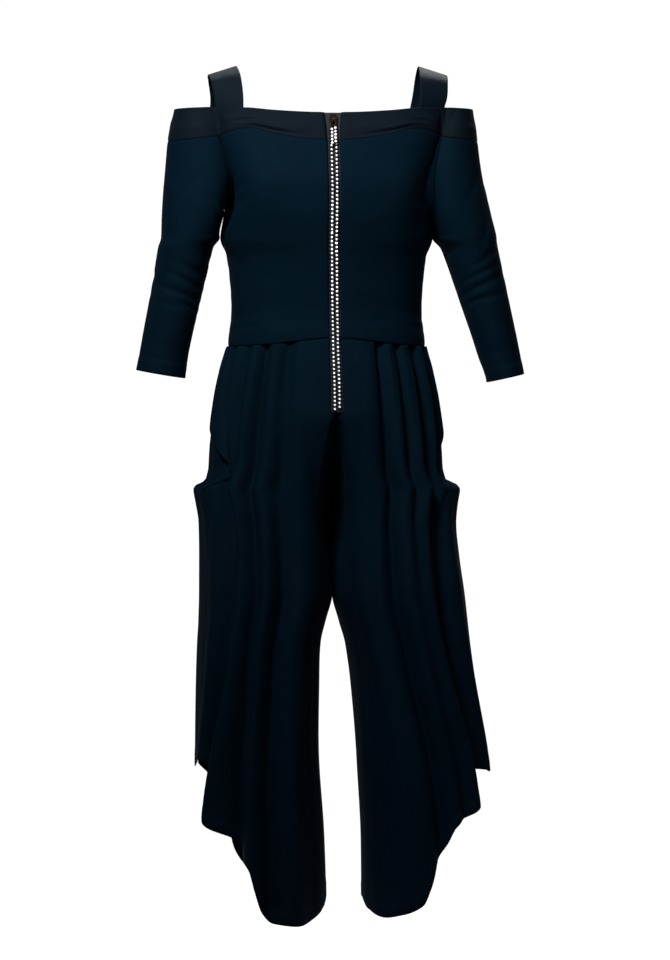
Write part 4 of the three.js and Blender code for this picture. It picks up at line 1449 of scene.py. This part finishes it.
def pull_stones():
    """Two columns of stones on the pull's face, staggered by nearly half a step."""
    down = np.array([0, -math.sin(slope_turn), -math.cos(slope_turn)])
    out = np.array([0, -math.cos(slope_turn), math.sin(slope_turn)])
    parts = []
    for column, first in ((-1, 13.8), (1, 11.4)):
        reach = first + np.arange(pull_count) * pull_pitch
        origins = hinge_place + np.outer(reach, down) + out * pull_proud
        origins[:, 0] += column * pull_aside
        axes = np.broadcast_to(np.stack([[1.0, 0, 0], -down, out]), (pull_count, 3, 3))
        turns = 0.3 * np.cos(np.arange(pull_count) * 1.9 + column)
        parts.append(copies(stone_shape(2.0, 1.2), turns, origins, axes))
    return parts


fit_zip(joined("pull_stones", pull_stones()), "stones", "pull_tab")

# %% [markdown]
# ## Materials
# The cloth is a jersey, nearly black with a little blue, and it has no shine. So its base is
# very dark, with only a trace of gloss and sheen. The band and the straps are folded double,
# and their lighter, greyer tones of their own are also a painted sheen, as they catch the
# light from above. Two effects are built once as shader groups: the knit, from the map on the
# cloth, and rows of stitches, from the distance to a hem. Both only put out masks, heights and
# colours, and what is the same all over stays on the shader.

# %% Node helpers


def put(tree, socket, value):
    """Links a socket to the value if that is an output, and otherwise sets it."""
    if isinstance(value, bpy.types.NodeSocket):
        tree.links.new(value, socket)
    else:
        socket.default_value = value


def node(tree, kind, inputs=None, **settings):
    """A shader node with its settings made and its inputs set or linked."""
    made = tree.nodes.new("ShaderNode" + kind)
    for key, value in settings.items():
        setattr(made, key, value)
    for key, value in (inputs or {}).items():
        put(tree, made.inputs[key], value)
    return made


def sums(tree, operation, *values):
    """One Math node, and its output."""
    made = node(tree, "Math", dict(enumerate(values)), operation=operation)
    return made.outputs["Value"]


def blended(tree, share, first, second):
    """A colour between two colours."""
    made = node(tree, "Mix", data_type="RGBA")
    put(tree, made.inputs["Factor"], share)
    put(tree, made.inputs[6], first)
    put(tree, made.inputs[7], second)
    return made.outputs[2]


def group(name, inputs, outputs):
    """An empty shader group with named sockets, and its two end nodes."""
    tree = bpy.data.node_groups.new(name, "ShaderNodeTree")
    for word, kind in inputs.items():
        tree.interface.new_socket(word, in_out="INPUT", socket_type="NodeSocket" + kind)
    for word, kind in outputs.items():
        tree.interface.new_socket(word, in_out="OUTPUT", socket_type="NodeSocket" + kind)
    given = tree.nodes.new("NodeGroupInput").outputs
    wanted = tree.nodes.new("NodeGroupOutput").inputs
    return tree, given, wanted


def use(tree, made, inputs):
    """A shader group placed in a tree, and its outputs."""
    placed = node(tree, "Group", node_tree=made)
    for key, value in inputs.items():
        put(tree, placed.inputs[key], value)
    return placed.outputs


# %% [markdown]
# In a plain knit each stitch is a small V, and the Vs stand in upright columns called wales.
# The height below is a wave down the cloth that lags behind towards the sides of a wale, which
# bends each wave crest into a V. Slow and fine noise shift the tone a little from place to
# place, as yarn does that took its dye unevenly.

# %% Knit and stitches


def make_knit():
    """height = sin(2 pi (down/course + lean/2)) + 1 - lean^2, lean being 0 in the middle of
    a wale and 1 at its sides."""
    tree, given, wanted = group(
        "jersey knit",
        {"Map": "Vector", "Wale": "Float", "Course": "Float", "Dark": "Color", "Light": "Color"},
        {"Colour": "Color", "Roughness": "Float", "Height": "Float"},
    )
    parts = node(tree, "SeparateXYZ", {"Vector": given["Map"]}).outputs
    wale = sums(tree, "FRACT", sums(tree, "DIVIDE", parts["X"], given["Wale"]))
    lean = sums(tree, "MULTIPLY", sums(tree, "ABSOLUTE", sums(tree, "SUBTRACT", wale, 0.5)), 2.0)
    down = sums(tree, "DIVIDE", parts["Y"], given["Course"])
    lagged = sums(tree, "ADD", down, sums(tree, "MULTIPLY", lean, 0.5))
    phase = sums(tree, "MULTIPLY", lagged, 2 * math.pi)
    column = sums(tree, "SUBTRACT", 1.0, sums(tree, "MULTIPLY", lean, lean))
    put(tree, wanted["Height"], sums(tree, "ADD", sums(tree, "SINE", phase), column))
    slow = node(tree, "TexNoise", {"Vector": given["Map"], "Scale": 22.0, "Detail": 3.0}).outputs["Fac"]
    fine = node(tree, "TexNoise", {"Vector": given["Map"], "Scale": 900.0, "Detail": 1.0}).outputs["Fac"]
    speck = sums(tree, "ADD", sums(tree, "MULTIPLY", slow, 0.65), sums(tree, "MULTIPLY", fine, 0.35))
    put(tree, wanted["Colour"], blended(tree, speck, given["Dark"], given["Light"]))
    put(tree, wanted["Roughness"], sums(tree, "ADD", 0.6, sums(tree, "MULTIPLY", speck, 0.16)))
    return tree


def make_stitches():
    """A row of stitches at a distance from the hem: 1 on the thread, 0 between and beside."""
    tree, given, wanted = group(
        "stitch row",
        {"Hem": "Float", "Along": "Float", "From": "Float", "Step": "Float", "Thread": "Float"},
        {"Mask": "Float"},
    )
    beside = sums(tree, "ABSOLUTE", sums(tree, "SUBTRACT", given["Hem"], given["From"]))
    across = sums(tree, "LESS_THAN", beside, given["Thread"])
    place = sums(tree, "FRACT", sums(tree, "DIVIDE", given["Along"], given["Step"]))
    put(tree, wanted["Mask"], sums(tree, "MULTIPLY", across, sums(tree, "LESS_THAN", place, 0.78)))
    return tree


knit = make_knit()
stitches = make_stitches()


def new_material(name, **constants):
    """A material with the shader's own sockets set, its node tree and its shader."""
    material = bpy.data.materials.new(name)
    material.use_nodes = True
    surface = material.node_tree.nodes["Principled BSDF"]
    for key, value in constants.items():
        surface.inputs[key.replace("_", " ")].default_value = value
    return material, material.node_tree, surface.inputs


def make_jersey(name, dark, light, gloss):
    """Knit all over, with a painted shade within a hair of a seam, and two rows of stitches at a hem."""
    material, tree, surface = new_material(
        name,
        Specular_IOR_Level=gloss,
        Sheen_Weight=0.0008,
        Sheen_Roughness=0.35,
        Sheen_Tint=(0.55, 0.75, 1.0, 1),
    )
    cloth = node(tree, "UVMap", uv_map="cloth").outputs["UV"]
    hem = node(tree, "Attribute", attribute_name="hem").outputs["Fac"]
    seam = node(tree, "Attribute", attribute_name="seam").outputs["Fac"]
    along_hem = node(tree, "SeparateXYZ", {"Vector": cloth}).outputs["X"]
    knit_sizes = {"Wale": 0.0009, "Course": 0.0007}
    knitted = use(tree, knit, {"Map": cloth, "Dark": dark, "Light": light, **knit_sizes})
    row = {"Hem": hem, "Along": along_hem, "Step": 0.0028, "Thread": 0.0003}
    lower_row = use(tree, stitches, {**row, "From": 0.0158})
    upper_row = use(tree, stitches, {**row, "From": 0.0190})
    sewn = sums(tree, "MAXIMUM", lower_row["Mask"], upper_row["Mask"])
    # painted shade: the cloth is darkened within 2 mm of a seam, as if the seam's groove were in shade
    near_seam = sums(tree, "SUBTRACT", 1.0, sums(tree, "DIVIDE", seam, 0.002))
    painted_seam_shade = sums(tree, "MULTIPLY", sums(tree, "MAXIMUM", near_seam, 0.0), 0.8)
    coloured = blended(tree, painted_seam_shade, knitted["Colour"], (0.0001, 0.0003, 0.0005, 1))
    put(tree, surface["Base Color"], blended(tree, sewn, coloured, (0.0006, 0.003, 0.005, 1)))
    put(tree, surface["Roughness"], knitted["Roughness"])
    height = sums(tree, "ADD", knitted["Height"], sums(tree, "MULTIPLY", sewn, 3.0))
    bump = node(tree, "Bump", {"Height": height, "Strength": 0.35, "Distance": 0.00012})
    put(tree, surface["Normal"], bump.outputs["Normal"])
    return material


jersey_dark = (0.0001, 0.0008, 0.0017, 1)
jersey_light = (0.0002, 0.0015, 0.0029, 1)
jersey = make_jersey("jersey", jersey_dark, jersey_light, 0.003)
# band and straps: doubled cloth, with lighter and greyer tones that are a painted sheen
doubled_painted_sheen_dark = (0.0002, 0.0006, 0.0011, 1)
doubled_painted_sheen_light = (0.0004, 0.0011, 0.0019, 1)
doubled = make_jersey("doubled jersey", doubled_painted_sheen_dark, doubled_painted_sheen_light, 0.008)
print("materials", len(bpy.data.materials))

# %% [markdown]
# The tapes are woven in fine ribs across. The metal has a dark plating that is a little paler
# in places. The stones are clear glass with a mirror behind, so they give back the room like a
# bright metal, in tones that change a little every few millimetres.

# %% Tape, metal and stones


def make_tape():
    """A plain weave: the product of a wave down the tape and one across it."""
    material, tree, surface = new_material("woven tape", Specular_IOR_Level=0.04)
    cloth = node(tree, "UVMap", uv_map="cloth").outputs["UV"]
    parts = node(tree, "SeparateXYZ", {"Vector": cloth}).outputs
    ribs = sums(tree, "SINE", sums(tree, "MULTIPLY", parts["Y"], 2 * math.pi / 0.0011))
    warp = sums(tree, "SINE", sums(tree, "MULTIPLY", parts["X"], 2 * math.pi / 0.0013))
    weave = sums(tree, "MULTIPLY", ribs, warp)
    share = sums(tree, "ADD", 0.5, sums(tree, "MULTIPLY", weave, 0.5))
    yarn = blended(tree, share, (0.0003, 0.0005, 0.0008, 1), (0.0016, 0.002, 0.0026, 1))
    put(tree, surface["Base Color"], yarn)
    put(tree, surface["Roughness"], sums(tree, "ADD", 0.62, sums(tree, "MULTIPLY", share, 0.12)))
    bump = node(tree, "Bump", {"Height": weave, "Strength": 0.4, "Distance": 0.0002})
    put(tree, surface["Normal"], bump.outputs["Normal"])
    return material


def make_metal(name, dark, light):
    """Metal whose tone and polish change a little with noise."""
    material, tree, surface = new_material(name, Metallic=1.0)
    place = node(tree, "TexCoord").outputs["Object"]
    wear = node(tree, "TexNoise", {"Vector": place, "Scale": 260.0, "Detail": 4.0}).outputs["Fac"]
    put(tree, surface["Base Color"], blended(tree, wear, dark, light))
    put(tree, surface["Roughness"], sums(tree, "ADD", 0.2, sums(tree, "MULTIPLY", wear, 0.22)))
    return material


def make_stones():
    """A bright mirror under a clear coat, with its tone drawn anew in every small cell."""
    constants = {"Metallic": 0.85, "Coat_Weight": 1.0, "Coat_Roughness": 0.02}
    material, tree, surface = new_material("cut stones", **constants)
    place = node(tree, "TexCoord").outputs["Object"]
    cell = node(tree, "VectorMath", {0: place, 1: (0.004, 0.004, 0.004)}, operation="SNAP")
    tone = node(tree, "TexWhiteNoise", {"Vector": cell.outputs["Vector"]}).outputs["Value"]
    glass = blended(tree, tone, (0.45, 0.48, 0.52, 1), (0.95, 0.96, 0.98, 1))
    put(tree, surface["Base Color"], glass)
    put(tree, surface["Roughness"], sums(tree, "ADD", 0.06, sums(tree, "MULTIPLY", tone, 0.1)))
    return material


finishes = {
    "tape": make_tape(),
    "gunmetal": make_metal("dark plated metal", (0.0008, 0.0005, 0.0004, 1), (0.006, 0.0042, 0.0036, 1)),
    "stones": make_stones(),
}
for piece in sewn_pieces:
    doubled_with_painted_sheen = piece.name.startswith(("band", "strap"))
    piece.data.materials.append(doubled if doubled_with_painted_sheen else jersey)
for piece in zip_pieces:
    piece.data.materials.append(finishes[piece["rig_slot"]])
print("finishes", ", ".join(finishes))
